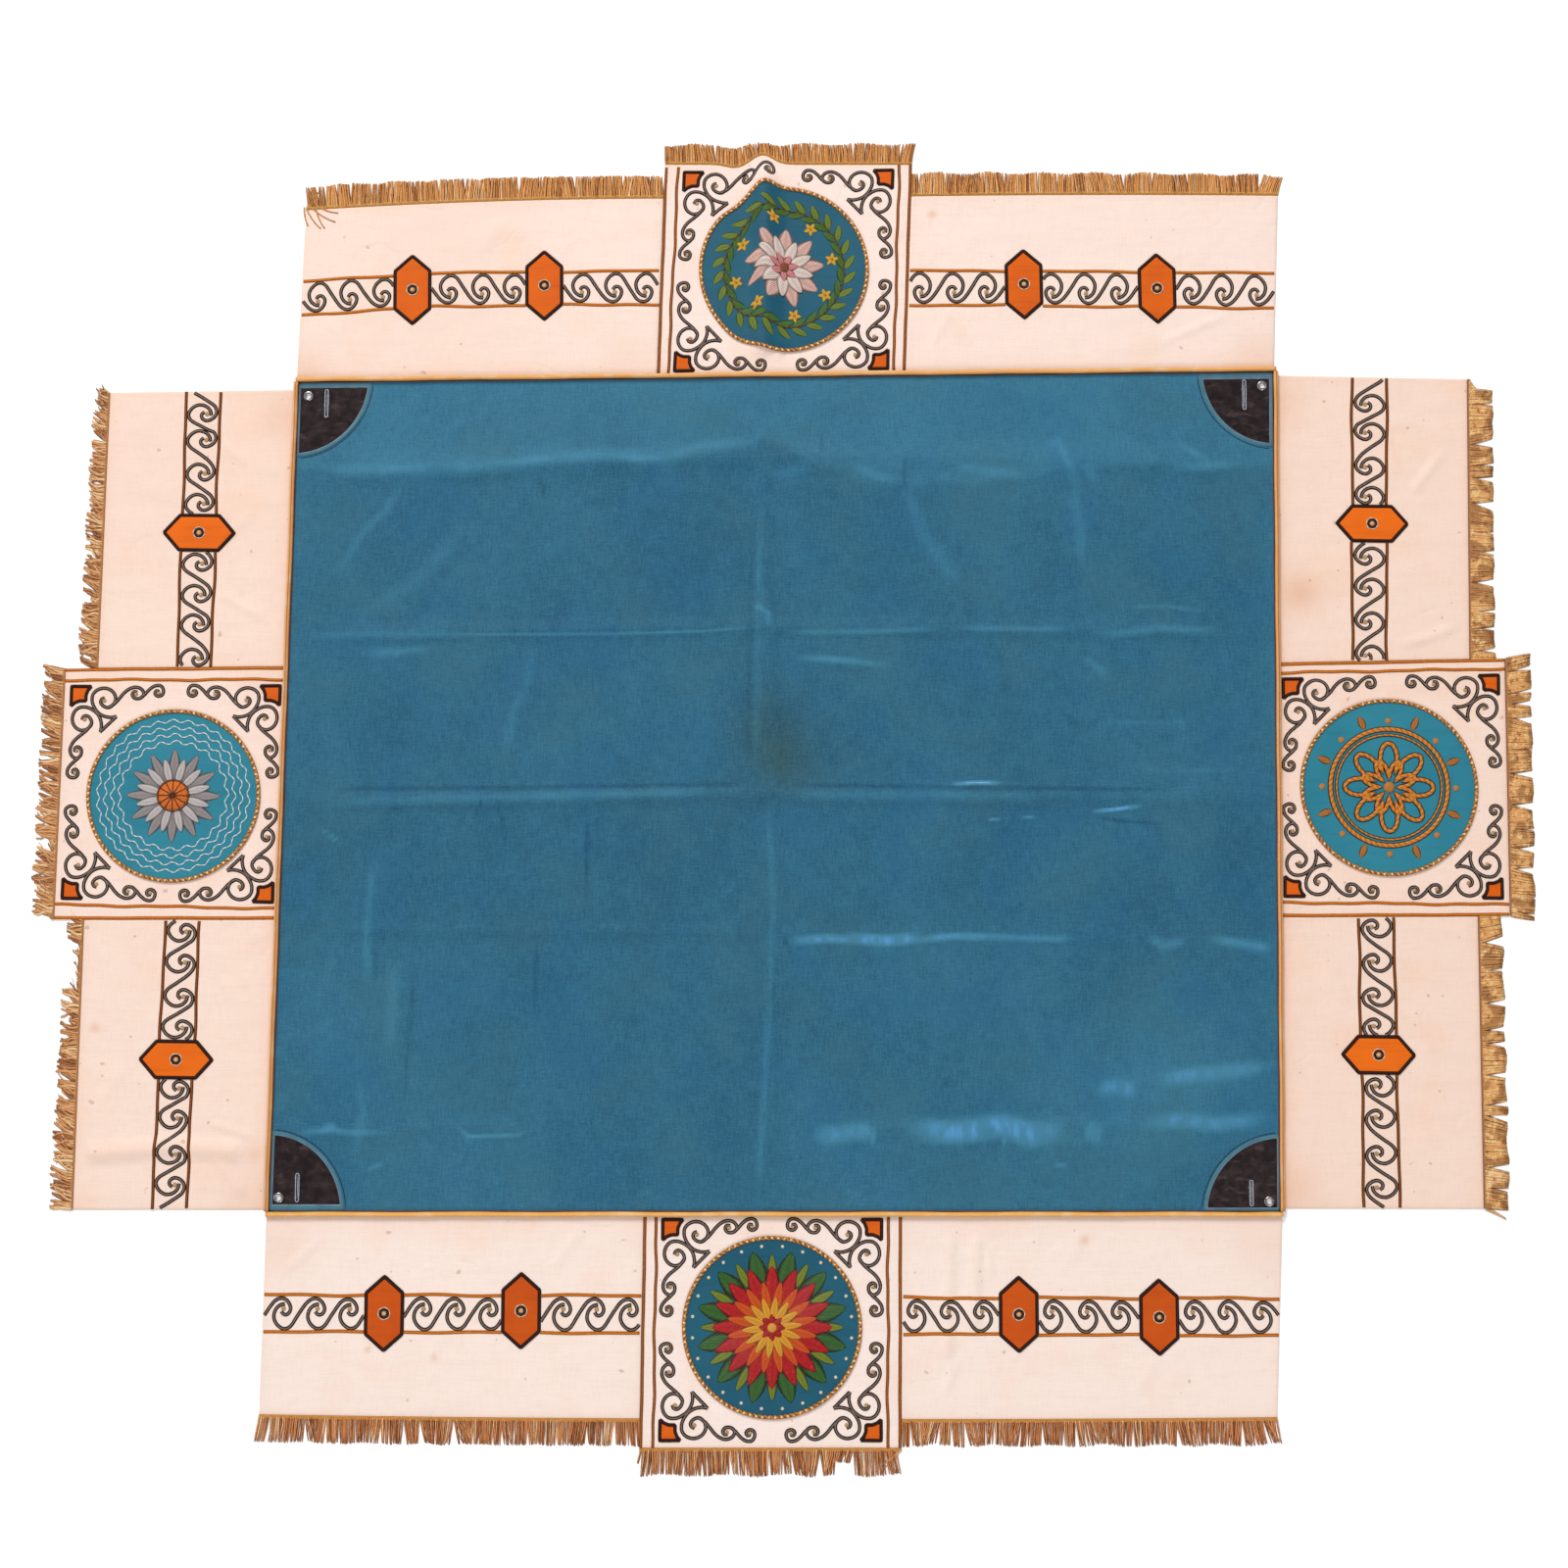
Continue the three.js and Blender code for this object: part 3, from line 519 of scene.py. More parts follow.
def rope(work, line, width, high, strands, turn, sides):
    """A twisted rope round a closed line: its radius swells on each strand, and the strands wind round. Its
    tone follows the swell as painted light and shade.
    """
    run = distance(line)
    whole = run[-1] + np.hypot(*(line[0] - line[-1])[:2])
    angle = turn_by(sides)
    phase = strands / 2 * (angle[None] - 2 * np.pi * round(whole / turn) * run[:, None] / whole)
    swell = np.abs(np.cos(phase))
    size = 0.76 + 0.24 * swell
    aside = rightwards(line, True)[:, None]
    flat = line[:, None, :2] - aside * (np.cos(angle)[None] * size * width / 2)[..., None]
    points = raised(flat, line[:, None, 2] + high / 2 + np.sin(angle)[None] * size * high / 2)
    lay = paired(run[:, None], np.cos(angle)[None])
    points, lay, swell = (np.concatenate([x, x[:1]]) for x in (points, lay, swell))
    # The swell is also the tone: painted light on the strands' crests, painted shade between them.
    work.grid(points, lay, swell, ring=True, flip=True)


def dome(work, centre, radius, high, dye, turns=10):
    """A small knot or button: half a flattened ball."""
    rings = np.array([(1.0, 0), (0.86, 0.6), (0.5, 0.93), (0.0, 1.0)])
    lay = radius * rings[:, :1, None] * unit(turn_by(turns))[None]
    rise = np.broadcast_to((centre[2] + high * rings[:, 1])[:, None], lay.shape[:2])
    work.grid(raised(centre[:2] + lay, rise), lay, 0.5, dye, ring=True, flip=True)


# Materials


class Shade:
    """A number that varies over a surface. Arithmetic on it adds Math nodes."""

    def __init__(self, finish, socket):
        self.finish, self.socket = finish, socket

    def math(self, operation, *others):
        return self.finish.node("Math", {"operation": operation}, self, *others)

    def __add__(self, other):
        return self.math("ADD", other)

    def __sub__(self, other):
        return self.math("SUBTRACT", other)

    def __mul__(self, other):
        return self.math("MULTIPLY", other)

    __radd__, __rmul__ = __add__, __mul__

    def sine(self, pitch):
        """A wave of this number, from -1 to 1, with a given pitch."""
        return (self * (2 * np.pi / pitch)).math("SINE")

    def between(self, low, high, start=0.0, end=1.0):
        """Rises smoothly from start to end as the number goes from low to high."""
        setting = {"interpolation_type": "SMOOTHSTEP", "clamp": True}
        return self.finish.node("MapRange", setting, self, low, high, start, end)


class Finish:
    """A material: node() adds one node from its type, its settings and its sockets' values or links."""

    def __init__(self, name, **constants):
        self.material = bpy.data.materials.new(name)
        self.material.use_nodes = True
        self.tree = self.material.node_tree
        self.tree.nodes.clear()
        self.shader = self.tree.nodes.new("ShaderNodeBsdfPrincipled")
        out = self.tree.nodes.new("ShaderNodeOutputMaterial")
        self.tree.links.new(self.shader.outputs[0], out.inputs[0])
        for socket, value in constants.items():
            self.shader.inputs[socket.replace("_", " ")].default_value = value
        self.place = self.node("TexCoord", {}, output="Object")
        self.lay = self.node("Attribute", {"attribute_name": "lay"}, output="Vector")
        self.u = self.node("SeparateXYZ", {}, self.lay, output="X")
        self.v = self.node("SeparateXYZ", {}, self.lay, output="Y")
        self.tone = self.node("Attribute", {"attribute_name": "tone"}, output="Fac")
        self.dye = self.node("Attribute", {"attribute_name": "dye"}, output="Color")

    def node(self, kind, settings, *values, output=0, **named):
        made = self.tree.nodes.new("ShaderNode" + kind)
        for key, value in settings.items():
            setattr(made, key, value)
        for key, value in list(enumerate(values)) + list(named.items()):
            socket = made.inputs[key.replace("_", " ") if isinstance(key, str) else key]
            if isinstance(value, Shade):
                self.tree.links.new(value.socket, socket)
            else:
                socket.default_value = value
        return Shade(self, made.outputs[output])

    def noise(self, size, detail=2.0, stretch=(1, 1, 1), coordinates=None, roughness=0.5):
        """Cloudy noise whose patches are about size metres (or of the coordinates' own unit) across."""
        coordinates = coordinates or self.place
        moved = self.node("Mapping", {}, coordinates, Scale=tuple(s / size for s in stretch))
        return self.node("TexNoise", {}, moved, Scale=1.0, Detail=detail, Roughness=roughness, output="Fac")

    def blend(self, share, low, high, how="MIX"):
        """Colour low turning to high."""
        low, high = (x if isinstance(x, Shade) else (*x, 1.0)[:4] for x in (low, high))
        made = self.tree.nodes.new("ShaderNodeMix")
        made.data_type, made.blend_type = "RGBA", how
        for socket, value in ((0, share), (6, low), (7, high)):
            if isinstance(value, Shade):
                self.tree.links.new(value.socket, made.inputs[socket])
            else:
                made.inputs[socket].default_value = value
        return Shade(self, made.outputs[2])

    def finish(self, colour, roughness, height=None, depth=0.0003, strength=1.0):
        """Joins the colour, the roughness and the height, whose unit is depth metres, to the shader."""
        self.tree.links.new(colour.socket, self.shader.inputs["Base Color"])
        self.tree.links.new(roughness.socket, self.shader.inputs["Roughness"])
        if height is not None:
            bump = self.node("Bump", {}, Strength=strength, Distance=depth, Height=height, output="Normal")
            self.tree.links.new(bump.socket, self.shader.inputs["Normal"])
        return self.material


def tint(red, green, blue, strength=0.88):
    """A photographed sRGB colour as a linear base colour."""
    x = np.array([red, green, blue]) / 255
    linear = np.where(x <= 0.04045, x / 12.92, ((x + 0.055) / 1.055) ** 2.4)
    return tuple(float(value) for value in linear * strength)


def woven_height(f, warp, weft):
    """Height of a plain weave: ribs of one set of threads, broken by the other."""
    return f.u.sine(warp) * 0.5 + f.v.sine(weft) * 0.7


def blue_satin():
    """Satin that fades in clouds. Where its tone is high, on worn lines, painted glints (highlights) lie in
    fine streaks.
    """
    f = Finish("blue satin", Specular_IOR_Level=0.1)
    cloud = f.noise(0.16, 3, (1, 0.6, 1))
    mottle = f.noise(0.03, 3)
    weave = f.noise(0.0024, 1, (1, 0.12, 1)) * 0.5 + f.noise(0.0024, 1, (0.12, 1, 1)) * 0.4
    weave = weave + f.noise(0.003, 1) * 0.5
    level = f.tone + cloud * 0.42 + mottle * 0.3 + weave - 1.06
    colour = f.blend(level.between(-0.3, 1.3), tint(22, 70, 98), tint(66, 127, 154))
    hue = f.noise(0.14, 3)
    colour = f.blend(hue.between(0.5, 0.68) * 0.22, colour, tint(34, 100, 142))
    colour = f.blend(hue.between(0.34, 0.5, 1.0, 0.0) * 0.22, colour, tint(62, 110, 122))
    # Painted glints: high tones turn to pale blue streaks, and the highest to near white.
    glint_streaks = f.noise(0.018, 4, (1, 0.35, 1)).between(0.4, 0.62, 0.2, 1.0)
    glint_streaks = glint_streaks * f.noise(0.05, 2).between(0.35, 0.6, 0.5, 1.0)
    colour = f.blend(level.between(0.85, 2.2) * glint_streaks, colour, tint(88, 154, 206))
    colour = f.blend(level.between(2.3, 3.2), colour, tint(150, 204, 230))
    colour = f.blend(1.0, colour, f.dye, "MULTIPLY")
    return f.finish(colour, cloud * 0.14 + weave * 0.05 + 0.5, weave * 0.8 + mottle * 2.2, 0.0004, 0.75)


def ivory_silk(name, warm):
    """Ivory cloth with slubs, specks and faint creases, darker where its tone is low, which holds its stains
    and painted shade.
    """
    f = Finish(name, Specular_IOR_Level=0.25, Sheen_Weight=0.1, Sheen_Roughness=0.5)
    cloud = f.noise(0.11, 3)
    slub = f.noise(0.02, 2, (0.12, 1.5, 1))
    threads = f.noise(0.0026, 1, (1, 0.1, 1)) + f.noise(0.0026, 1, (0.1, 1, 1))
    colour = f.blend(f.tone, tint(228, 176, 140), tint(*warm))
    colour = f.blend(cloud.between(0.5, 0.75) * 0.35, colour, tint(250, 214, 190))
    colour = f.blend(slub.between(0.45, 0.75) * 0.12, colour, tint(236, 208, 190))
    colour = f.blend(threads.between(0.9, 1.25) * 0.12, colour, tint(226, 190, 166))
    specks = f.noise(0.016, 1).between(0.745, 0.79)
    colour = f.blend(specks * 0.4, colour, tint(170, 122, 88))
    creases = (f.noise(0.13, 2) - 0.5).math("ABSOLUTE").between(0.0, 0.035, 1.0, 0.0)
    creases = creases * f.noise(0.09, 1).between(0.5, 0.68)
    colour = f.blend(1.0, colour, f.dye, "MULTIPLY")
    height = woven_height(f, 1.4, 1.9) * 0.03 + slub * 0.08 + f.noise(0.05, 3) * 0.9 - creases * 0.22
    return f.finish(colour, cloud * 0.12 + 0.6, height, 0.002, 0.9)


def metal_thread(name, spark=0.0):
    """Tarnished gold thread in the colour of each side, with painted shade between and under the strands and
    painted highlights on their tops and turns.
    """
    f = Finish(name, Metallic=0.1, Specular_IOR_Level=0.5)
    along = f.noise(7.0, 2, coordinates=f.lay)
    level = f.tone + along * 0.9 - 0.45
    # Low tones darken towards brown: painted shade under and between strands, mixed with random tone.
    colour = f.blend(1.0, f.dye, (0.46, 0.34, 0.26), "MULTIPLY")
    colour = f.blend(level.between(-0.2, 0.65), colour, f.dye)
    # Painted highlight where the tone is highest, on the strands' tops and turns.
    colour = f.blend(level.between(0.8, 1.3) * 0.85, colour, tint(255, 222, 170))
    if spark:
        worn = f.noise(0.009, 4, roughness=0.65)
        patches = f.noise(0.035, 2)
        colour = f.blend(patches.between(0.42, 0.5, 1.0, 0.0) * spark, colour, tint(176, 118, 62))
        # Painted sparkle: pale crinkle spots in the golden patches stand for glints of the metal.
        painted_sparkle = worn.between(0.54, 0.62) * patches.between(0.4, 0.5) * spark
        colour = f.blend(painted_sparkle, colour, tint(255, 222, 158))
        colour = f.blend(worn.between(0.36, 0.44, 1.0, 0.0) * spark, colour, tint(150, 92, 44))
    crimp = (f.u + f.v * 0.8).sine(2.6) + f.noise(0.006, 2) * (6 * spark)
    return f.finish(colour, along * 0.25 + 0.3, crimp, 0.0003, 0.8)


def couching(name, edge, core, pitch=2.6, metallic=0.0, mark=0.35):
    """A cord sewn down: darker at its sides, paler along its core, with slanting stitches across it."""
    f = Finish(name, Metallic=metallic, Specular_IOR_Level=0.15)
    side = f.v.math("ABSOLUTE").between(0.18, 0.34)
    colour = f.blend(side, tint(*core), tint(*edge))
    stitch = (f.u + f.v * 1.2).sine(pitch)
    colour = f.blend(stitch.between(-1, 1, mark, 0.0), colour, tint(*[0.55 * x for x in edge]))
    grain = f.noise(0.004, 2)
    colour = f.blend(grain.between(0.5, 0.8) * 0.25, colour, tint(*[min(1.25 * x + 12, 255) for x in core]))
    return f.finish(colour, grain * 0.2 + 0.5, stitch, 0.0003, 0.7)


def piping_cord():
    """Silk twisted into slanting strokes. Where its tone is low, two cords lie side by side, with painted
    shade in a dark line between them.
    """
    f = Finish("piping cord", Specular_IOR_Level=0.3)
    twist = (f.u + f.v * 2.2).sine(4.4)
    colour = f.blend(f.tone, tint(255, 186, 122, 1.0), tint(255, 194, 106, 1.0))
    colour = f.blend(twist.between(-1.0, 0.0, 0.5, 0.0), colour, tint(240, 138, 60))
    colour = f.blend(f.noise(0.03, 2).between(0.45, 0.75) * 0.4, colour, tint(255, 226, 180, 1.0))
    # Painted shade: a dark line between the two cords where the tone is low.
    groove_shade = (f.v - 6.3).math("ABSOLUTE").between(0.3, 1.5, 1.0, 0.0) * f.tone.between(0.3, 0.5, 0.75, 0.0)
    colour = f.blend(groove_shade, colour, tint(168, 96, 48))
    return f.finish(colour, f.noise(0.01, 1) * 0.2 + 0.5, twist - groove_shade * 2, 0.0006, 0.8)


def rope_thread():
    """A dark gold rope, lighter on its strands' crests and darker between them as painted light and shade,
    with a pale stitch over it at every second turn.
    """
    f = Finish("roundel rope", Metallic=0.1, Specular_IOR_Level=0.4)
    colour = f.blend(f.tone.between(0.3, 1.0), tint(112, 60, 18), tint(206, 138, 58))
    bead = f.u.sine(10.4).between(0.35, 0.8) * (f.v * f.v).between(0.1, 0.5, 1.0, 0.0)
    colour = f.blend(bead * f.noise(0.008, 1).between(0.3, 0.5), colour, tint(246, 206, 140, 1.0))
    return f.finish(colour, f.noise(0.01, 1) * 0.25 + 0.38, (f.u + f.v * 2).sine(1.4), 0.0002, 0.6)


def dyed_stitches():
    """Silk and metal threads laid side by side in the colour each motif was dyed."""
    f = Finish("embroidery silk", Specular_IOR_Level=0.25)
    stitch = (f.u * 0.25 + f.v).sine(2.4)
    grain = f.noise(0.004, 2)
    colour = f.blend(stitch.between(-1, 1, 0.42, 0.0), f.dye, (0.02, 0.01, 0.008))
    colour = f.blend(grain.between(0.55, 0.8) * 0.07, colour, tint(250, 226, 190))
    return f.finish(colour, grain * 0.3 + 0.36, stitch, 0.0004, 0.7)


def applique(name, low, high, roughness=0.5):
    """Plain-woven silk laid on the cloth, paler where its tone is high."""
    f = Finish(name, Specular_IOR_Level=0.2)
    cloud = f.noise(0.05, 3)
    slub = f.noise(0.012, 2, (0.15, 1.3, 1))
    colour = f.blend(f.tone * 0.8 + cloud * 0.4 - 0.1, tint(*low), tint(*high))
    colour = f.blend(slub.between(0.5, 0.8) * 0.2, colour, tint(*[0.8 * x for x in low]))
    height = woven_height(f, 1.2, 1.2) * 0.4 + slub
    return f.finish(colour, cloud * 0.14 + roughness, height, 0.0002, 0.6)


def patch_twill():
    """Dark twill, dusty in patches."""
    f = Finish("dark twill", Specular_IOR_Level=0.2)
    dust = f.noise(0.02, 4, roughness=0.65)
    twill = (f.u + f.v).sine(2.2)
    colour = f.blend(dust.between(0.35, 0.75), tint(38, 27, 30), tint(72, 58, 58))
    colour = f.blend(twill.between(-1, 1, 0.3, 0.0), colour, tint(16, 8, 10))
    colour = f.blend(f.noise(0.012, 2, (0.4, 1, 1)).between(0.56, 0.7) * 0.4, colour, tint(104, 82, 82))
    return f.finish(colour, dust * 0.2 + 0.7, twill + dust * 2.5, 0.0006, 0.8)


def binding_satin():
    """Teal satin folded over the edge, with a row of stitches."""
    f = Finish("teal binding", Specular_IOR_Level=0.4, Sheen_Weight=0.2)
    fold = f.v.between(0.12, 0.3)
    colour = f.blend(fold, tint(118, 136, 150), tint(60, 120, 138))
    colour = f.blend(f.noise(0.02, 3).between(0.4, 0.7) * 0.6, colour, tint(60, 98, 124))
    stitch = f.u.sine(3.2)
    colour = f.blend(stitch.between(0.5, 1, 0, 0.25), colour, tint(38, 90, 108))
    return f.finish(colour, f.noise(0.02, 2) * 0.2 + 0.4, stitch + f.noise(0.004, 1), 0.0003, 0.6)


def silvered_steel():
    """Eyelets whose silver has worn to grey in spots."""
    f = Finish("silvered eyelet", Specular_IOR_Level=0.5)
    worn = f.noise(0.004, 3)
    colour = f.blend(worn.between(0.4, 0.7), tint(168, 160, 166, 1.0), tint(104, 98, 102, 1.0))
    f.tree.links.new(worn.between(0.5, 0.8, 1.0, 0.82).socket, f.shader.inputs["Metallic"])
    return f.finish(colour, worn * 0.3 + 0.18, f.noise(0.001, 2), 0.0001, 0.4)


FINISHES = dict(
    satin=blue_satin(),
    ivory=ivory_silk("ivory silk", (254, 236, 226)),
    square=ivory_silk("ivory silk of the squares", (255, 238, 230)),
    fringe=metal_thread("metal fringe"),
    matted=metal_thread("matted metal fringe", 0.8),
    head=metal_thread("fringe head"),
    scroll=couching("scroll cord", (28, 12, 8), (134, 116, 106), mark=0.12),
    guard=couching("guard cord", (182, 90, 2), (226, 136, 34), 2.2, 0.05, 0.15),
    guard_dark=couching("dark guard cord", (98, 46, 8), (150, 84, 26), 2.2, 0.05, 0.15),
    line=couching("square line cord", (130, 64, 12), (178, 108, 42), 2.0, 0.05, 0.2),
    outline=couching("outline cord", (36, 12, 6), (58, 24, 14), 2.4),
    piping=piping_cord(),
    rope=rope_thread(),
    stitches=dyed_stitches(),
    orange=applique("orange silk", (186, 66, 2), (250, 118, 8), 0.6),
    teal=applique("teal satin", (14, 72, 96), (36, 106, 128), 0.44),
    twill=patch_twill(),
    binding=binding_satin(),
    steel=silvered_steel(),
    # Buttonhole thread: its dark edges are partly painted shade of the narrow slot
    lip=couching("buttonhole thread", (46, 42, 52), (204, 208, 222), 1.5),
    # Seam thread: real stitching, and partly painted shade beside the piping
    seam=couching("seam thread", (130, 62, 46), (160, 84, 60), 2.0),
    light_teal=applique("light teal satin", (32, 112, 134), (56, 146, 166), 0.44),
)
BLACK = tint(30, 12, 8)
GOLD_DOT = tint(206, 166, 118)

# Sheets


def sheet_lines(length, cell, fine=()):
    """Places along a sheet and the height of its top there: the edge rolls down and tucks under. The
    cells are smaller inside the fine stretches."""
    ends = sorted([0, length, *(end for stretch in fine for end in stretch)])
    parts = []
    for low, high in zip(ends, ends[1:]):
        step = 2.6 if (low, high) in fine else cell
        parts.append(np.linspace(low, high, int(np.ceil((high - low) / step)) + 1)[:-1])
    inner = np.concatenate(parts)[1:] / length
    first, high = np.array([2.4, 0, 0, 0.9]) / length, [0.1, 0.15, 1.35, CLOTH]
    places = np.concatenate([first, inner, 1 - first[::-1]])
    return places, np.concatenate([high, np.full(len(inner), CLOTH), high[::-1]])


def open_out(x, y, away, onto, keep):
    """Cuts a hole in a grid: faces whose corners lie inside on average go, and the rim moves onto the edge."""
    middle = (away[:-1, :-1] + away[1:, :-1] + away[1:, 1:] + away[:-1, 1:]) / 4 > 0
    kept, gone = np.zeros(x.shape, bool), np.zeros(x.shape, bool)
    for i in (slice(None, -1), slice(1, None)):
        for j in (slice(None, -1), slice(1, None)):
            kept[i, j] |= middle
            gone[i, j] |= ~middle
    rim = kept & gone
    return np.where(rim, onto[0], x), np.where(rim, onto[1], y), keep & middle


def blob(x, y, rows):
    """Sum of soft round marks: each row is x, y, radius and strength."""
    return sum(strength * np.exp(-((x - at) ** 2 + (y - up) ** 2) / radius**2)
               for at, up, radius, strength in rows)


# Panel lines: worn and faded ones, painted glints where high, painted light beside folds and painted shade in
# their bottoms: points, tone and half width
PANEL_WEAR_AND_LIGHT = [
    ([(30, 1256), (137, 1254), (298, 1254), (378, 1264), (508, 1276), (631, 1268), (693, 1288), (800, 1300)],
     0.4, 18),
    ([(130, 1252), (235, 1255)], 0.3, 9), ([(380, 1264), (450, 1273)], 0.3, 8),
    ([(565, 1270), (631, 1266)], 0.3, 8), ([(800, 1235), (889, 1254)], 0.3, 14),
    ([(940, 1256), (1030, 1221)], 0.4, 12), ([(1112, 1254), (1178, 1242), (1256, 1231)], 0.5, 14),
    ([(1270, 1270), (1298, 1295), (1323, 1243), (1336, 1190)], 0.35, 12),
    ([(1342, 1256), (1367, 1217)], 0.3, 12), ([(1479, 1243), (1610, 1250)], 0.4, 12),
    ([(1495, 1292), (1560, 1252)], 0.4, 9), ([(20, 969), (165, 968), (330, 968)], 0.35, 9),
    ([(250, 968), (551, 967), (698, 970), (812, 978)], 0.65, 3.5),
    ([(120, 938), (190, 939), (255, 947)], 0.4, 11), ([(776, 1022), (812, 1001), (812, 972)], 0.7, 6),
    ([(820, 968), (980, 967), (1120, 972)], 0.55, 7), ([(1110, 972), (1340, 968)], 0.45, 7),
    ([(846, 927), (918, 921), (1030, 908)], 0.6, 9),
    ([(1340, 964), (1399, 960), (1480, 969), (1590, 962)], 0.4, 11),
    ([(1395, 1006), (1480, 1007), (1560, 997)], 0.35, 6), ([(63, 706), (400, 707), (810, 711)], -0.55, 7),
    ([(825, 710), (1181, 702), (1500, 697)], -0.55, 7), ([(64, 682), (326, 688), (733, 698)], 0.35, 12),
    ([(830, 690), (1100, 688), (1300, 684)], 0.3, 12), ([(1117, 708), (1162, 711), (1210, 710)], 2.4, 4.5),
    ([(1351, 661), (1398, 665), (1445, 671)], 2.2, 4.5), ([(1358, 652), (1400, 646), (1480, 639)], -0.6, 4.5),
    ([(1180, 649), (1205, 649)], 1.0, 4), ([(1236, 652), (1264, 653)], 0.9, 4),
    ([(850, 448), (917, 452), (965, 449)], 1.4, 11), ([(935, 454), (1010, 448), (1080, 452)], 1.8, 13),
    ([(1055, 448), (1130, 455), (1205, 453)], 1.1, 9), ([(1165, 456), (1235, 451), (1340, 449)], 0.7, 9),
    ([(1445, 455), (1475, 437), (1516, 447)], 0.6, 11), ([(1545, 450), (1600, 442), (1666, 431)], 0.9, 12),
    ([(29, 130), (101, 138), (137, 133), (209, 133)], 0.6, 8), ([(85, 136), (112, 148)], 0.7, 10),
    ([(298, 153), (329, 127), (413, 129), (434, 144)], 0.8, 5),
    ([(890, 126), (951, 132), (1010, 135)], 1.0, 22),
    ([(1040, 139), (1135, 132), (1208, 145), (1257, 129), (1330, 139)], 1.6, 26),
    ([(1343, 138), (1377, 127)], 0.8, 22), ([(1425, 142), (1495, 152), (1560, 146), (1666, 156)], 1.0, 19),
    ([(1359, 200), (1398, 208), (1436, 195)], 0.9, 19),
    ([(1450, 213), (1526, 226), (1590, 232), (1666, 242)], 0.95, 18), ([(160, 71), (192, 84)], 0.7, 5),
    ([(1292, 84), (1320, 75)], 0.7, 5), ([(814, 690), (826, 520), (820, 300), (806, 12)], 0.3, 8),
    ([(184, 1239), (164, 1189), (122, 1145), (73, 1064)], 0.35, 12),
    ([(415, 961), (407, 886), (383, 830), (367, 732)], 0.3, 14),
    ([(301, 1150), (205, 1056), (115, 994)], 0.25, 22),
    ([(158, 604), (150, 470), (150, 440), (159, 366)], 0.4, 10), ([(166, 445), (165, 372)], -0.5, 5),
    ([(195, 425), (197, 336), (193, 255)], 0.35, 14), ([(233, 420), (225, 288), (220, 168)], -0.4, 7),
    ([(513, 675), (516, 474)], -0.5, 5), ([(432, 462), (432, 317)], -0.5, 5),
    ([(362, 690), (379, 612)], -0.5, 5), ([(335, 690), (327, 655)], -0.5, 5),
    ([(140, 234), (154, 168), (141, 84)], 0.3, 12), ([(1037, 1221), (1072, 1131), (1142, 1029)], 0.3, 16),
    ([(1323, 1218), (1336, 1141), (1342, 1065)], 0.3, 16), ([(1336, 929), (1392, 882)], 0.35, 10),
    ([(1299, 835), (1340, 800)], -0.3, 9), ([(784, 1195), (781, 976), (778, 791), (788, 711)], -0.25, 7),
    ([(794, 1200), (793, 720)], 0.2, 10), ([(1038, 1272), (1040, 1208)], -0.5, 4.5),
    ([(1129, 1137), (1130, 1079)], -0.5, 4.5), ([(1147, 1019), (1148, 984)], -0.5, 4.5),
    ([(897, 1312), (898, 1267)], -0.4, 4.5), ([(821, 373), (841, 333)], -0.5, 5),
    ([(843, 456), (859, 419)], -0.4, 5), ([(414, 1246), (427, 1218), (432, 1192)], -0.5, 4.5),
    ([(358, 1307), (368, 1278), (390, 1266)], -0.4, 4.5), ([(1361, 810), (1554, 808)], 0.3, 5),
    ([(1405, 733), (1616, 729)], 0.3, 5), ([(65, 641), (103, 613)], 0.6, 4.5),
    ([(991, 141), (1000, 105)], 0.6, 5), ([(1208, 150), (1214, 102)], 0.6, 5),
]
# Stretches of v where the panel's mesh is finer, for its creases
FINE_ROWS = [(430, 480), (640, 716), (900, 1012), (122, 156), (1236, 1300)]
# Soft marks of the panel, paler above nought: u, v, radius and strength. The pale ones near the near edge are
# partly paler cloth and partly painted sheen.
PANEL_MARKS = [
    (815, 790, 90, -0.12), (170, 820, 60, -0.12), (1290, 1240, 110, 0.08), (930, 90, 130, 0.1),
    (1400, 160, 160, 0.18), (1530, 230, 100, 0.15), (120, 300, 130, 0.1), (300, 120, 140, 0.1),
    (1500, 700, 120, 0.08), (640, 1120, 180, -0.06), (1130, 420, 160, 0.06),
]
# The line where the faded cloth at the far edge begins, as u and v
FADED_FROM = [
    (0, 1256), (230, 1256), (378, 1264), (446, 1275), (569, 1272), (631, 1268), (693, 1290), (798, 1300),
    (900, 1256), (1027, 1222), (1254, 1232), (1336, 1250), (1670, 1246),
]
# The brown smudge: u, v, radius and strength
SMUDGE = [(815, 785, 75, 1.0), (850, 740, 45, 0.6)]


def panel_tone(u, v):
    """How light the satin is: faded beyond a line, worn on its creases, with painted glints and painted light
    and shade on its folds, marked, and pale at its edges.
    """
    faded = v - np.interp(u, *zip(*FADED_FROM)) + 10 - 6 * np.sin(u / 21) * np.sin(u / 57)
    tone = 0.48 + 0.24 * soft(faded / 14) - 0.05 * soft((700 - v) / 20) + 0.05 * soft((460 - v) / 16)
    # Worn lines, painted glints, and painted light and shade along the folds
    wear_and_light = ridges(u, v, PANEL_WEAR_AND_LIGHT, 80)
    tone = tone + np.where(wear_and_light < 0, 0.6, 1.0) * wear_and_light + blob(u, v, PANEL_MARKS)
    return tone + 0.18 * np.exp(-to_border(u, v, *PANEL) / 14)


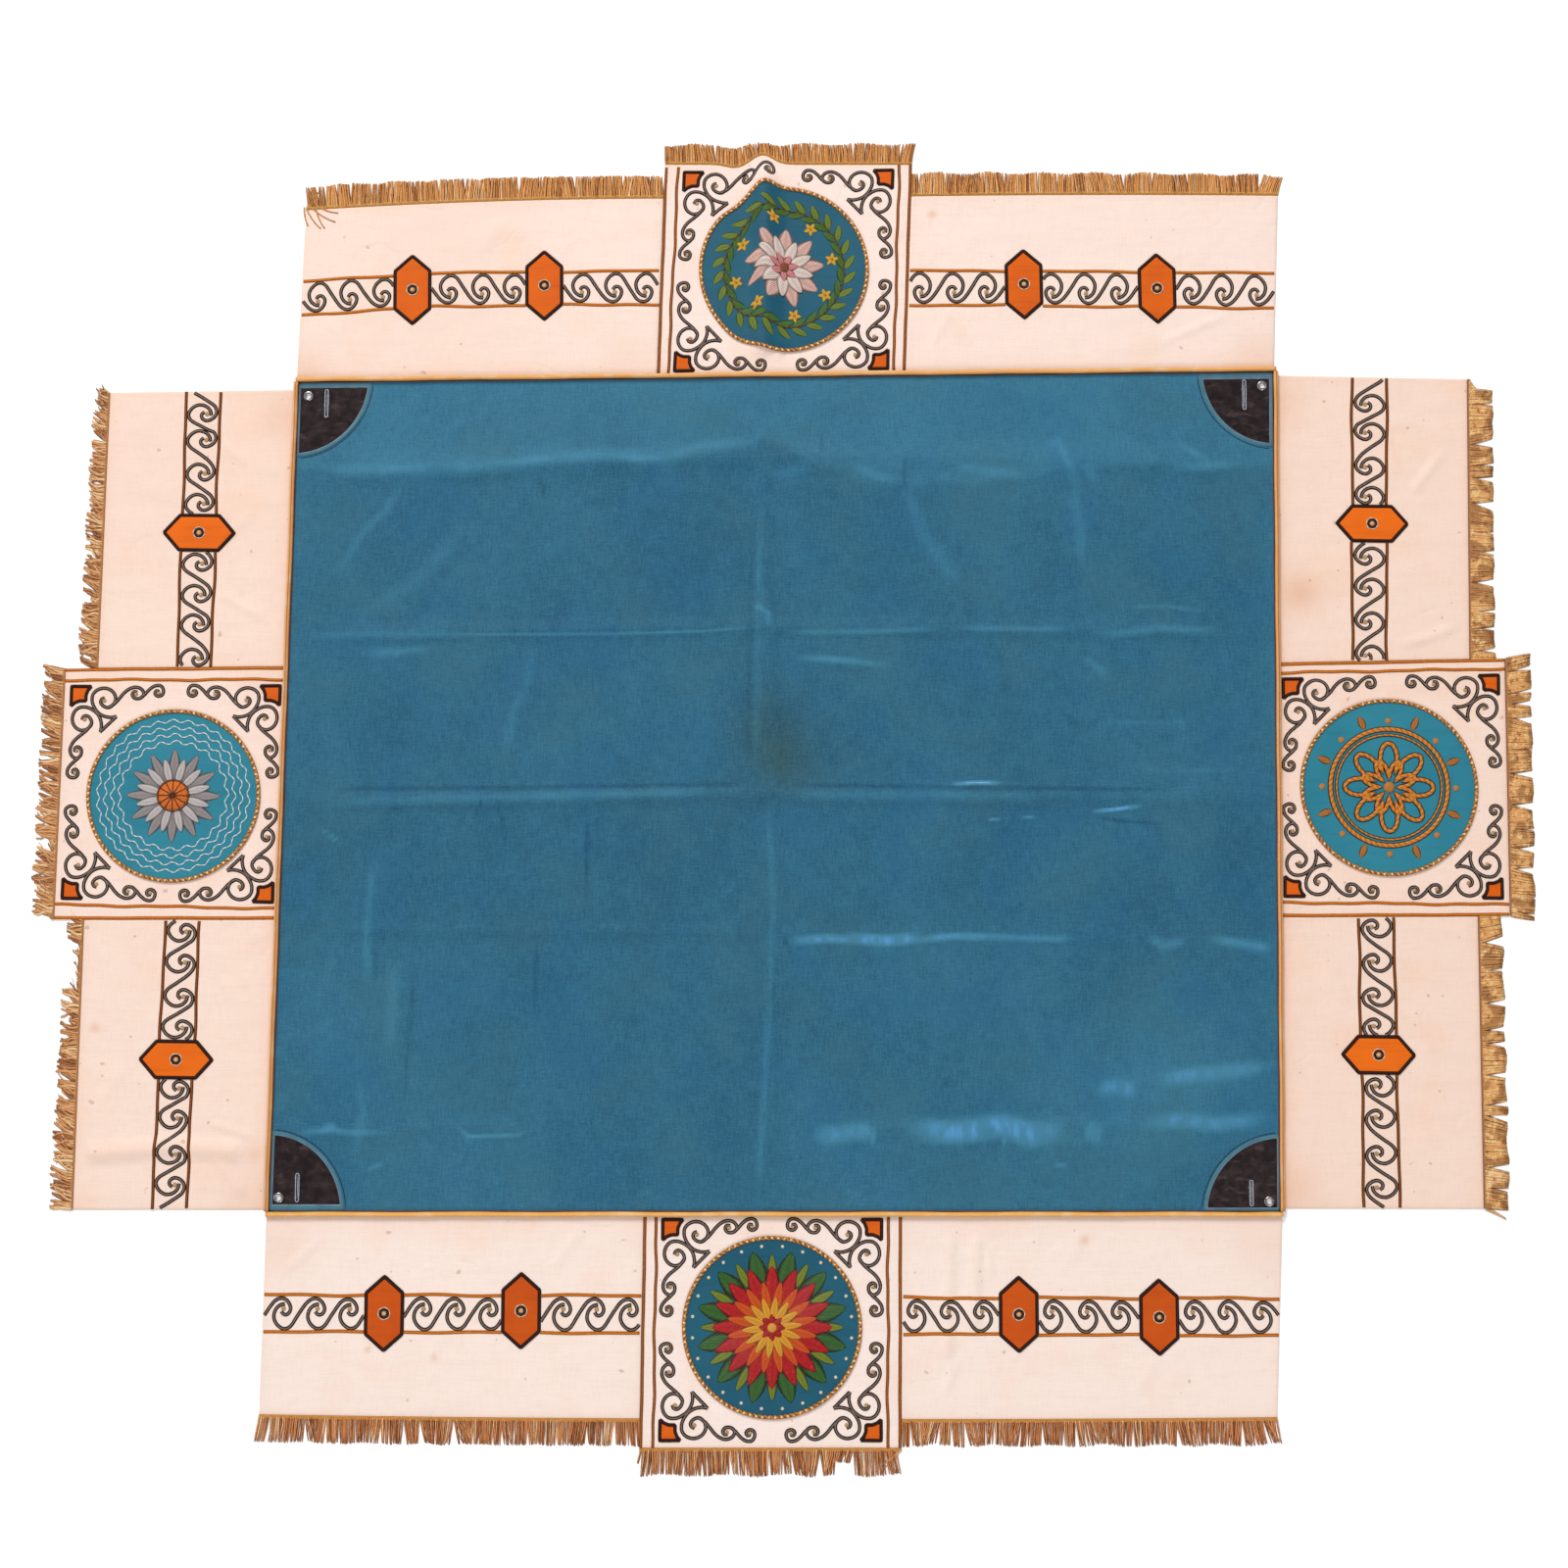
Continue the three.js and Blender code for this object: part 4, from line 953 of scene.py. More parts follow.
def build_panel():
    """The blue satin, open under each corner window, with a brown smudge near its middle."""
    a, high_a = sheet_lines(PANEL[0], 6.2)
    b, high_b = sheet_lines(PANEL[1], 6.4, FINE_ROWS)
    u, v = np.meshgrid(a * PANEL[0], b * PANEL[1], indexing="ij")
    keep = np.ones((len(a) - 1, len(b) - 1), bool)
    for corner, (radii, _, _, _) in WINDOWS.items():
        x, y = corner_uv(corner, u, v)
        r = np.hypot(x / (radii[0] + GAP), y / (radii[1] + GAP))
        safe = np.maximum(r, 0.2)
        x, y, keep = open_out(x, y, (r - 1) * radii[0], (x / safe, y / safe), keep)
        u, v = corner_uv(corner, x, y)
    inside = (np.clip(u, SEAM, PANEL[0] - SEAM), np.clip(v, SEAM, PANEL[1] - SEAM))
    z = np.minimum.outer(high_a, high_b) + panel_lift(*inside)
    dye = 1 + blob(u, v, SMUDGE)[..., None] * (0.25, -0.1, -0.25)
    work = Work()
    work.grid(raised(panel_place(*inside), z), np.stack([u, v], -1), panel_tone(u, v), dye, keep=keep)
    return work.piece("blue_panel", FINISHES["satin"], "blue_satin", ["panel_blue"])


# Stains of each valance: t, s, radius and strength. The broad first marks of far and left are painted shade.
STAINS_AND_SHADE = {
    "right": [(386, 41, 34, 0.5), (60, 20, 40, 0.2), (1380, 25, 40, 0.25)],
    "left": [(1250, 170, 280, 0.12), (98, 23, 14, 0.3), (880, 40, 30, 0.18), (300, 295, 8, 0.5),
             (1340, 30, 40, 0.25), (20, 30, 50, 0.2)],
    "near": [(325, 42, 8, 0.5), (1499, 218, 5, 0.7), (1390, 231, 6, 0.5), (1640, 60, 40, 0.2),
             (40, 60, 50, 0.15)],
    "far": [(230, 170, 260, 0.16), (1090, 280, 7, 0.6), (20, 20, 40, 0.25), (1640, 20, 50, 0.2),
            (560, 40, 50, 0.12)],
}
# How each valance has yellowed
SILKS = {
    "near": (1, 1, 1), "far": (1, 0.97, 0.955), "left": (0.985, 0.925, 0.885), "right": (0.985, 0.9, 0.84),
}


def build_piece(piece):
    """The silk of one band or square, darker along its seam, its hem and its ends, with its stains and with
    painted shade along its creases.
    """
    a, high_a = sheet_lines(piece.width, 5.0)
    b, high_b = sheet_lines(piece.height, 5.0)
    a, b = np.meshgrid(a, b, indexing="ij")
    t, s = piece.spread(a, b)
    z = np.minimum.outer(high_a, high_b) + piece.lift(a, b)
    points = raised(piece.side.plan(t, s), z)
    # Darker along the seam, the hem and the ends; stains, of which the broad far and left ones are painted
    # shade
    stain_and_shade = 0.30 * np.exp(-s / 16) + 0.22 * np.exp(-(1 - b) * piece.height / 7)
    stain_and_shade = stain_and_shade + 0.12 * np.exp(-np.minimum(a, 1 - a) * piece.width / 9) + blob(t, s, STAINS_AND_SHADE[piece.side.name])
    # Painted shade along the creases
    crease_shade = across(BAND_COLUMNS.get(piece.name, []), b, a * piece.width)
    stain_and_shade = stain_and_shade + 0.12 * np.clip(crease_shade / 6, 0, 1)
    work = Work()
    work.grid(points, np.stack([t, s], -1), np.clip(0.92 - stain_and_shade, 0, 1), SILKS[piece.side.name])
    finish = FINISHES["square" if piece.part == "square" else "ivory"]
    return work.piece(piece.name + "_silk", finish, "ivory_cloth", [piece.name])


# Fringe


def hem_point(piece, share, out):
    """Plan point at a share of the way along a hem, and so far out from it."""
    t, s = piece.spread(np.asarray(share, float), 1.0)
    return piece.side.plan(t, s) + piece.side.out * np.asarray(out, float)[..., None]


# How each side's strands lie. pitch and width are a strand's, and under is the half width of those beneath
# as a share of it. clump is a clump's width and gather how far its tips draw together. lean is that of all
# strands, and leans how it varies. curl is sideways, and bend how late a strand turns. ragged is how uneven
# the tips are, and short the share of short clumps. streak and shade are how strands and whole clumps
# differ in tone. colour and head are those of the strands and of the woven head.
STRANDS = {
    "far": dict(
        pitch=2.8, width=2.9, under=0.7, clump=24, gather=0.12, lean=0, leans=3.0, curl=0.7, bend=1.3,
        ragged=0.07, short=0.0, streak=0.3, shade=0.12, colour=(240, 168, 94), head=(206, 144, 60)),
    "near": dict(
        pitch=3.4, width=2.8, under=0.62, clump=18, gather=0.22, lean=-1, leans=4.8, curl=0.9, bend=1.3,
        ragged=0.06, short=0.02, streak=0.38, shade=0.12, colour=(230, 152, 92), head=(212, 142, 54)),
    "left": dict(
        pitch=4.4, width=4.8, under=0.75, clump=12, gather=0.3, lean=9, leans=8.0, curl=7.5, bend=1.6,
        ragged=0.22, short=0.05, streak=0.45, shade=0.18, colour=(230, 166, 108), head=(180, 120, 58)),
    "right": dict(
        pitch=2.9, width=4.6, under=0.7, clump=36, gather=0.3, lean=0, leans=4.0, curl=0.6, bend=1.0,
        ragged=0.015, short=0.0, streak=0.05, shade=0.16, colour=(240, 178, 108), head=(160, 100, 46)),
}
MATTED = 0.2  # strands whose streak is below this lie matted together, and both layers lean alike
STRAND_SECTION = np.array([(0, 1), (-0.9, -0.5), (0.9, -0.5)])
HEAD_SECTION = np.array([
    (0.0, 0.1), (0.0, 1.6), (0.9, 2.7), (1.8, 2.4), (3.0, 2.9), (4.2, 2.4), (5.0, 2.7), (5.8, 1.0), (5.8, 0.1),
])


def hem_span(piece):
    """Where a hem starts along its side, and its length."""
    start, end = (float(hem_point(piece, x, 0.0) @ piece.side.along) for x in (0.0, 1.0))
    return start, end - start


def hem_lengths(piece):
    """Fringe length at places along a hem, less where a pucker carries the hem over it."""
    start, span = hem_span(piece)
    first, last = FRINGES[piece.name][0]
    count = round(span / LOCK["pitch"])
    share = (np.arange(count) + 0.5) / count
    uneven = np.sin(np.arange(count) * 2.4 + start) * np.cos(np.arange(count) * 0.77)
    pushed = np.maximum(piece.side.push(mix(piece.hem[0], piece.hem[1], share), piece.drop[0]), 0)
    return share, mix(first, last, share) - LOCK["vary"] * np.abs(uneven) - pushed


def build_strands(piece, seed):
    """Strands in two layers that leave the hem in clumps and rest on the floor."""
    side, way = piece.side, STRANDS[piece.side.name]
    clump, leans, ragged, matted = way["clump"], way["leans"], way["ragged"], way["streak"] < MATTED
    splay, worn = FRINGES[piece.name][1], WORN.get(piece.name)
    _, span = hem_span(piece)
    rng = np.random.default_rng(seed)
    stops = np.cumsum(clump * rng.uniform(0.45, 1.55, int(span / clump * 1.8) + 4)) - clump
    clump_lean = way["lean"] + rng.normal(0, leans, len(stops))
    clump_reach = np.where(rng.random(len(stops)) < way["short"], 0.55, 1.0)
    clump_reach = clump_reach * (1 - 0.25 * ragged * rng.random(len(stops)))
    clump_shade = way["shade"] * rng.normal(0, 1, len(stops))
    n = int(span / way["pitch"])
    run = np.linspace(0, 1, 5)[None] * np.ones((n, 1))
    work = Work()
    for layer in (0, 1):
        at = (np.arange(n) + rng.uniform(0.2, 0.8, n)) * span / n
        own = np.searchsorted(stops, at)
        middle = (stops[own - 1] + stops[own]) / 2
        aside = (middle - at) * way["gather"] * rng.uniform(0.6, 1.2, n) + clump_lean[own]
        aside = aside + rng.normal(0, 0.2 * leans + 0.4, n) * (not matted)
        aside = mix(way["lean"], aside, 1.0 if layer or matted else 0.5)
        ends = np.minimum(at, span - at) / span
        aside = aside + np.where(at < span / 2, -splay[0], splay[1]) * (1 - soft(ends / LOCK["splayed"]))
        reach = np.interp(at / span, *hem_lengths(piece)) * clump_reach[own]
        reach = reach * (1 - ragged * rng.random(n) ** 2) + 1 - layer
        if worn:
            gone = (at / span > worn[0]) & (at / span < worn[1])
            reach = np.where(gone, STUB + 8 * rng.random(n) ** 3, reach)
        aside = np.clip(aside, -0.75 * reach, 0.75 * reach)
        wave, phase = rng.normal(0, way["curl"] * (0.3 + 0.7 * layer), n), rng.uniform(0, 6, n)
        x = at[:, None] + aside[:, None] * run ** way["bend"]
        x = x + wave[:, None] * np.sin(3.6 * run + phase[:, None]) * run
        down = np.sqrt(np.maximum(1 - (aside / np.maximum(reach, 1)) ** 2, 0.3))
        out = GAP + 2.5 + run * (reach * down - 2.5)[:, None]
        on_hem = np.clip(x, 0, span)
        centre = hem_point(piece, on_hem / span, out) + (x - on_hem)[..., None] * side.along
        z = mix(1.5 + layer, 0.7 + 0.8 * layer, soft(run * 1.6)) + 0.3 * rng.random((n, 1))
        width = way["width"] * mix(way["under"], 0.5, layer) * rng.uniform(0.75, 1.25, (n, 1))
        width = width * (1 - 0.4 * run**3)
        flat = centre[..., None, :] + side.along * (STRAND_SECTION[:, 0] * width[..., None])[..., None]
        points = raised(flat, z[..., None] + STRAND_SECTION[:, 1] * 0.55)
        tip = points.mean(-2, keepdims=True)[:, -1:].repeat(3, -2)
        lay = paired((run * reach[:, None])[..., None], STRAND_SECTION[:, 0] + 9 * phase[:, None, None])
        tone = (clump_shade[own] + way["streak"] * rng.normal(0, 1, n))[:, None, None]
        # Painted light and shade: each strand is lighter on top, and the lower layer darker under the upper
        # one.
        tone = tone + 0.2 * STRAND_SECTION[:, 1] + 0.52 - 0.12 * run[..., None] - 0.35 * (1 - layer)
        lay, tone = (np.concatenate([x, x[:, -1:]], 1) for x in (lay, tone))
        work.grid(np.concatenate([points, tip], -3), lay, tone, tint(*way["colour"]), ring=True, flip=True)
    finish = FINISHES["matted" if matted else "fringe"]
    return work.piece(f"fringe_strands_{piece.name}", finish, "metal_fringe")


def build_head(piece):
    """The woven head of a fringe, ribbed along the hem and looped every 16 mm."""
    _, span = hem_span(piece)
    out, high = HEAD_SECTION.T
    a = np.linspace(0, 1, int(span / 4) + 1)[:, None]
    flat = hem_point(piece, *np.broadcast_arrays(a, GAP + out[None]))
    loops = 0.35 * np.sin(a * span * 2 * np.pi / 16 + out[None]) * (high[None] > 2)
    work = Work()
    # The tone follows the loops: painted light on their tops, painted shade between them.
    work.grid(raised(flat, high[None] + loops), paired(a * span, out[None]), 0.6 + 0.6 * loops,
              tint(*STRANDS[piece.side.name]["head"]))
    return work.piece(f"fringe_head_{piece.name}", FINISHES["head"], "metal_fringe", [f"fringe_{piece.name}"])


# Strands that have come away: t, s, heading and length
LOOSE = [
    (14, 302, 0.35, 44), (22, 304, 0.75, 50), (10, 304, -0.05, 34), (30, 303, 0.15, 40), (36, 304, 1.0, 34),
]


def build_loose():
    """Strands of the far fringe that have come away and lie back over the corner of the cloth."""
    work = Work()
    piece = SIDES["far"].pieces[0]
    for t, s, heading, length in LOOSE:
        run = np.linspace(0, 1, 9)
        at = t + length * run * np.sin(heading + 0.25 * run)
        down = s - length * run * np.cos(heading + 0.25 * run)
        cord(work, piece.on(at, down, CLOTH + 0.1), 2.6, 1.1, dye=tint(214, 152, 92))
    work.piece("loose_strands", FINISHES["fringe"], "metal_fringe")


# Couched cords and appliques


def spans(side, piece):
    """The stretches of a band between its end, its hexagons and the square."""
    lines = [np.mean([piece.seam[k], mix(piece.seam[k], piece.hem[k], 0.5)]) for k in (0, 1)]
    stops = [lines[0]]
    for t, _ in side.hexagons:
        if lines[0] < t < lines[1]:
            stops += [t - HEXAGON[0], t + HEXAGON[0]]
    stops.append(lines[1])
    return list(zip(stops[::2], stops[1::2]))


def stretches(line, inside):
    """The unbroken runs of a line's points that lie inside."""
    edges = np.flatnonzero(np.diff(np.concatenate([[0], inside.astype(int), [0]])))
    return [line[i:j] for i, j in zip(edges[::2], edges[1::2]) if j - i > 3]


def scroll_run(side, eye, following, way):
    """t and s of the running scroll from one eye to the next. Its hook keeps its size at any pitch."""
    share, out = np.array(SCROLL).T
    step = abs(following - eye)
    stretched = share * mix(PITCH, step, np.clip(share / HOOK, 0, 1))
    x = np.where(share > HOOK, step + (share - 1) * PITCH, stretched)
    t, out = (flowing(np.stack([eye + way * x, out], -1) * (1, 60), 2.6) / (1, 60)).T
    return t, mix(*side.guard(t), out)


def build_bands():
    """Guard cords, running scrolls between them, and a knot in each eye."""
    for side in SIDES.values():
        guards, scrolls, knots = Work(), Work(), Work()
        for piece in (side.pieces[0], side.pieces[2]):
            way = 1 if piece.part == "band_start" else -1
            for low, high in spans(side, piece):
                t = np.arange(low - 8, high + 8, 2.5)
                for s in side.guard(t):
                    a = piece.find(t, s)[0]
                    inside = (a > 0.001) & (a < 0.999) & (t > low - 2) & (t < high + 2)
                    for run in stretches(np.stack([t, s], -1), inside):
                        run = np.vstack([run[:-1:2], run[-1:]])
                        cord(guards, piece.on(*run.T), *CORDS["guard"], ARCH)
                eyes = sorted((e for e in side.eyes if low < e < high), reverse=way < 0)
                pitch = abs(eyes[-1] - eyes[0]) / (len(eyes) - 1)
                eyes = [eyes[0] - way * pitch] + eyes + [eyes[-1] + way * pitch]
                for number, (eye, following) in enumerate(zip(eyes, eyes[1:])):
                    t, s = scroll_run(side, eye, following, way)
                    a = piece.find(t, s)[0]
                    inside = (a > 0.004) & (a < 0.996) & (t > low) & (t < high)
                    for run in stretches(np.stack([t, s], -1), inside):
                        cord(scrolls, piece.on(*run.T), *CORDS["scroll"], ARCH)
                    if number:
                        centre = piece.on(eye, mix(*side.guard(np.array(eye)), EYE[0]))
                        dome(knots, centre, EYE[1], 1.3, dye=GOLD_DOT)
        finish = FINISHES["guard" if side.name in ("far", "near") else "guard_dark"]
        guards.piece(f"guard_cords_{side.name}", finish, "gold_cord")
        scrolls.piece(f"running_scrolls_{side.name}", FINISHES["scroll"], "scroll_thread")
        knots.piece(f"scroll_knots_{side.name}", FINISHES["stitches"], "embroidery")


def hexagon_line(t, s, inset, step=4.0):
    """The edge of a hexagon, straight from corner to corner, drawn in by an inset."""
    half, tip, shoulder = np.array(HEXAGON) - np.array([1, 1.2, 0.4]) * inset
    corners = np.array([(0, -tip), (half, -shoulder), (half, shoulder), (0, tip), (-half, shoulder),
                        (-half, -shoulder)])
    return even(np.vstack([corners, corners[:1]]), step)[:-1] + (t, s)


def filled(work, place, rim, centre, rings, tone):
    """Cloth inside a closed rim: rings of points drawn towards its centre."""
    share = np.linspace(1, 0, rings)[:, None, None]
    flat = np.asarray(centre) + (rim[None] - centre) * share
    points = place(flat[..., 0], flat[..., 1])
    points[..., 2] -= 0.7 * share[..., 0] ** 6
    work.grid(points, flat - centre, tone, ring=True)


def build_hexagons():
    """Orange silk inside a black cord, with a ringed button, on the bands."""
    for side in SIDES.values():
        for number, (t, s) in enumerate(side.hexagons, 1):
            piece = side.pieces[0 if t < side.seam[1] else 2]
            silk, edge, ring = Work(), Work(), Work()
            place = lambda x, y: piece.on(x, y, BASE + 1.1)
            filled(silk, place, hexagon_line(t, s, 2.0), (t, s), 9, HEXAGON_TONES[side.name])
            rim = hexagon_line(t, s, 2.4, 2.0)
            cord(edge, piece.on(*rim.T, BASE - 0.3), *CORDS["hexagon"], ARCH, closed=True)
            for radius, width, dye in ((9.6, 1.7, tint(255, 222, 188)), (6.4, 4.6, BLACK)):
                circle = piece.on(*((t, s) + radius * unit(turn_by(28))).T, BASE + 1.0)
                cord(ring, circle, width, 1.2, ARCH, dye=dye, closed=True)
            dome(ring, piece.on(t, s, BASE + 0.9), 3.8, 1.5, dye=tint(236, 196, 140))
            name = f"{side.name}_{number}"
            yield piece.name, [
                silk.piece(f"hexagon_silk_{name}", FINISHES["orange"], "orange_cloth", [f"hexagon_{name}"]),
                edge.piece(f"hexagon_edge_{name}", FINISHES["outline"], "scroll_thread"),
                ring.piece(f"hexagon_ring_{name}", FINISHES["stitches"], "embroidery"),
            ]


def square_frame(side):
    """For each corner of a square's field: the function from its own x and y to t and s."""
    (seam_in, seam_out), (hem_in, hem_out) = side.inner_lines[0], side.inner_lines[1]
    depth = np.mean(side.deep)
    clear, low, high = 8, 6, depth - 9
    first = lambda s: mix(side.seam[1] + seam_in, side.hem[1] + hem_in, s / depth) + clear
    last = lambda s: mix(side.seam[2] - seam_out, side.hem[2] - hem_out, s / depth) - clear
    frames = []
    for line, way in ((first, 1), (last, -1)):
        frames.append(lambda x, y, line=line, way=way: (line(low + y) + way * x, low + y))
        frames.append(lambda x, y, line=line, way=way: (line(high - y) + way * x, high - y))
    return frames


def build_squares():
    """Double lines down the sides of each square, and a quad with two chains of scrolls in each corner."""
    for side in SIDES.values():
        piece = side.pieces[1]
        lines, scrolls, quads, edges, knots = Work(), Work(), Work(), Work(), Work()
        s = np.linspace(PIPING / 2 + 1, min(side.deep) - 0.6, 74)
        b = s / np.mean(side.deep)
        waver = 0.9 * np.sin(s / 29 + side.length) + 0.5 * np.sin(s / 11)
        for k, sign in ((1, 1), (2, -1)):
            edge = mix(side.seam[k], side.hem[k], b)
            inner = mix(side.inner_lines[0][k - 1], side.inner_lines[1][k - 1], b)
            for offset in (2.6 + 0.3 * waver, inner + waver):
                cord(lines, piece.on(edge + sign * offset, s), *CORDS["line"], ARCH)
        for frame_of in square_frame(side):
            rim = np.stack(frame_of(*even(np.array([*QUAD, QUAD[0]], float), 2.5)[:-1].T), -1)
            centre = np.array(frame_of(QUAD_MIDDLE, QUAD_MIDDLE))
            if np.cross(rim[0] - centre, rim[4] - centre) < 0:
                rim = rim[::-1]
            filled(quads, lambda x, y: piece.on(x, y, BASE), rim, centre, 6, 0.5)
            cord(edges, piece.on(*rim.T), *CORDS["quad"], ARCH, closed=True)
            for order in (slice(None), slice(None, None, -1)):
                for thread in CORNER_THREADS:
                    line = flowing([knot[order] for knot in thread], 2.6)
                    cord(scrolls, piece.on(*frame_of(*line.T)), *CORDS["corner"], ARCH)
                for eye in CORNER_EYES:
                    dome(knots, piece.on(*frame_of(*eye[order])), CORNER_EYE, 1.3, dye=GOLD_DOT)
            tip = CORNER_THREADS[0][0]
            base = even(np.array([tip, tip[::-1]], float), 2.6)
            cord(scrolls, piece.on(*frame_of(*base.T)), *CORDS["corner"], ARCH)
        finish = FINISHES["line" if side.name in ("far", "near") else "guard"]
        yield piece.name, [
            lines.piece(f"square_lines_{side.name}", finish, "gold_cord"),
            scrolls.piece(f"corner_scrolls_{side.name}", FINISHES["scroll"], "scroll_thread"),
            quads.piece(f"corner_quads_{side.name}", FINISHES["orange"], "orange_cloth"),
            edges.piece(f"quad_edges_{side.name}", FINISHES["outline"], "scroll_thread"),
            knots.piece(f"corner_knots_{side.name}", FINISHES["stitches"], "embroidery"),
        ]


# Roundels


def leaf(work, place, x, y, heading, length, width, rise, dye, dark=0.3, lift=0.0):
    """A petal or leaf: pointed at its tip, domed across, with a dark edge. It starts at x, y."""
    run = np.array([0, 0.06, 0.18, 0.34, 0.5, 0.66, 0.8, 0.91, 1.0])
    wide = np.array([-1, -0.86, -0.5, 0, 0.5, 0.86, 1])
    half = width / 2 * np.sin(np.pi * run**0.85) ** 0.75
    half[0] = half[-1] = 0
    u, v = run[:, None] * length * np.ones(7), half[:, None] * wide
    cosine, sine = np.cos(heading), np.sin(heading)
    points = place(x + u * cosine - v * sine, y + u * sine + v * cosine, lift)
    points[..., 2] += rise * (1 - wide**2) * np.sin(np.pi * run**0.9)[:, None] ** 0.6
    edge = np.where(np.abs(wide) > 0.8, 0.5 * dark, 1.0)[None] * np.ones((9, 1))
    edge[[0, -1]] = 0.5 * dark
    edge[:, 3] *= 0.75
    work.grid(points, np.stack([u, v], -1), dye=np.asarray(dye) * edge[..., None])


def wheel(work, place, count, radius, turn, **petal):
    """Leaves set round a centre, each starting at a radius."""
    for angle in turn_by(count) + turn:
        leaf(work, place, radius * np.cos(angle), radius * np.sin(angle), angle, **petal)


def ring_line(radius, count=0, wave=0.0, turn=0.0, points=120):
    """x and y of a circle, rippled count times by a wave."""
    angle = turn_by(points)
    r = radius + wave * np.sin(count * angle + turn)
    return r * np.cos(angle), r * np.sin(angle)


def lily(work, place):
    """White and pink petals in two rows, a green wreath and small yellow blossoms."""
    for angle in turn_by(26):
        x, y = 104 * np.cos(angle), 104 * np.sin(angle)
        for tilt, colour in ((0.5, (74, 122, 40)), (-0.6, (120, 146, 44))):
            leaf(work, place, x, y, angle + np.pi / 2 + tilt, 30, 14, 0.9, tint(*colour), 0.35)
    cord(work, place(*ring_line(103), 0.3), 3.0, 1.2, ARCH, dye=tint(96, 74, 34), closed=True)
    for angle in turn_by(8) + 0.2:
        x, y = 84 * np.cos(angle), 84 * np.sin(angle)
        for turn in turn_by(5):
            leaf(work, place, x, y, angle + turn, 12, 8, 0.8, tint(244, 190, 50), 0.4, 0.4)
        dome(work, place(x, y, 0.8), 2.6, 1.4, dye=tint(214, 120, 40))
    wheel(work, place, 9, 14, 0.1, length=56, width=30, rise=2.2, dye=tint(246, 196, 182), dark=0.3)
    wheel(work, place, 9, 10, 0.45, length=42, width=24, rise=2.4, dye=tint(255, 232, 220), dark=0.4, lift=1.6)
    wheel(work, place, 7, 4, 0.2, length=22, width=13, rise=1.6, dye=tint(240, 150, 150), dark=0.4, lift=3.2)
    dome(work, place(0, 0, 3.6), 9, 3.0, dye=tint(140, 74, 44), turns=16)


def dahlia(work, place):
    """Red, orange and gold petals in three rows over dark green leaves, with small pale knots round it."""
    wheel(work, place, 12, 62, 0.26, length=64, width=32, rise=1.0, dye=tint(56, 112, 44), dark=0.3)
    wheel(work, place, 12, 70, 0.0, length=48, width=17, rise=0.9, dye=tint(132, 150, 40), dark=0.35, lift=0.6)
    wheel(work, place, 16, 20, 0.0, length=82, width=30, rise=2.0, dye=tint(206, 22, 30), dark=0.3, lift=1.0)
    wheel(work, place, 16, 16, 0.2, length=60, width=21, rise=2.0, dye=tint(236, 92, 20), dark=0.3, lift=2.0)
    wheel(work, place, 14, 8, 0.1, length=43, width=17, rise=2.0, dye=tint(252, 176, 50), dark=0.3, lift=3.2)
    wheel(work, place, 8, 2, 0.0, length=21, width=12, rise=1.2, dye=tint(196, 24, 28), dark=0.35, lift=4.4)
    dome(work, place(0, 0, 4.6), 8, 2.6, dye=tint(240, 170, 60), turns=16)
    for x, y in 131 * unit(turn_by(24) + 0.13):
        dome(work, place(x, y, 0.0), 2.8, 1.3, dye=tint(250, 232, 200), turns=8)


def star(work, place):
    """A silver star on rippled rings, with an orange button laced with brown."""
    for radius, count, wave in ((126, 30, 2.6), (114, 27, 2.8), (102, 24, 3.0), (90, 21, 3.0)):
        line = place(*ring_line(radius, count, wave, radius, 240), 0.0)
        cord(work, line, 2.2, 1.0, dye=tint(232, 240, 240), closed=True)
    wheel(work, place, 12, 22, 0.0, length=58, width=20, rise=1.8, dye=tint(170, 160, 160), dark=0.3)
    silver = tint(222, 212, 210)
    wheel(work, place, 12, 20, 0.26, length=44, width=17, rise=1.8, dye=silver, dark=0.32, lift=1.2)
    dome(work, place(0, 0, 1.6), 25, 4.2, dye=tint(240, 120, 26), turns=28)
    for angle in np.arange(6) * np.pi / 6:
        run = np.linspace(-24, 24, 17)
        line = place(run * np.cos(angle), run * np.sin(angle), 1.7)
        line[:, 2] += 4.2 * np.sqrt(np.maximum(1 - (run / 25) ** 2, 0))
        cord(work, line, 1.8, 0.9, dye=tint(84, 36, 20))
    cord(work, place(*ring_line(26), 1.4), 3.6, 2.0, ARCH, dye=tint(110, 62, 36), closed=True)


def knotwork(work, place):
    """A gold cord looped into eight lobes inside a ring, with leaves between them."""
    for lobes, high, low, turn in ((8, 74, 26, 0.0), (8, 46, 14, np.pi / 8)):
        angle = turn_by(240)
        r = low + (high - low) * np.abs(np.cos(lobes / 2 * (angle + turn))) ** 0.8
        x, y = r * np.cos(angle), r * np.sin(angle)
        cord(work, place(x, y, 0.0), 9.4, 1.3, ARCH, dye=BLACK, closed=True)
        cord(work, place(x, y, 0.4), 6.4, 2.3, ARCH, dye=tint(222, 134, 40), closed=True)
    for radius, width in ((98, 7.0), (88, 3.2)):
        cord(work, place(*ring_line(radius), 0.0), width + 2.6, 1.1, ARCH, dye=BLACK, closed=True)
        cord(work, place(*ring_line(radius), 0.3), width, 1.9, ARCH, dye=tint(222, 134, 40), closed=True)
    wheel(work, place, 8, 104, np.pi / 8, length=26, width=13, rise=1.4, dye=tint(206, 126, 46), dark=0.2)
    for x, y in 112 * unit(turn_by(8)):
        dome(work, place(x, y, 0.0), 5.0, 2.0, dye=tint(214, 138, 60), turns=14)
    dome(work, place(0, 0, 1.0), 9, 3.0, dye=tint(210, 132, 52), turns=18)


DESIGNS = {"far": lily, "near": dahlia, "left": star, "right": knotwork}


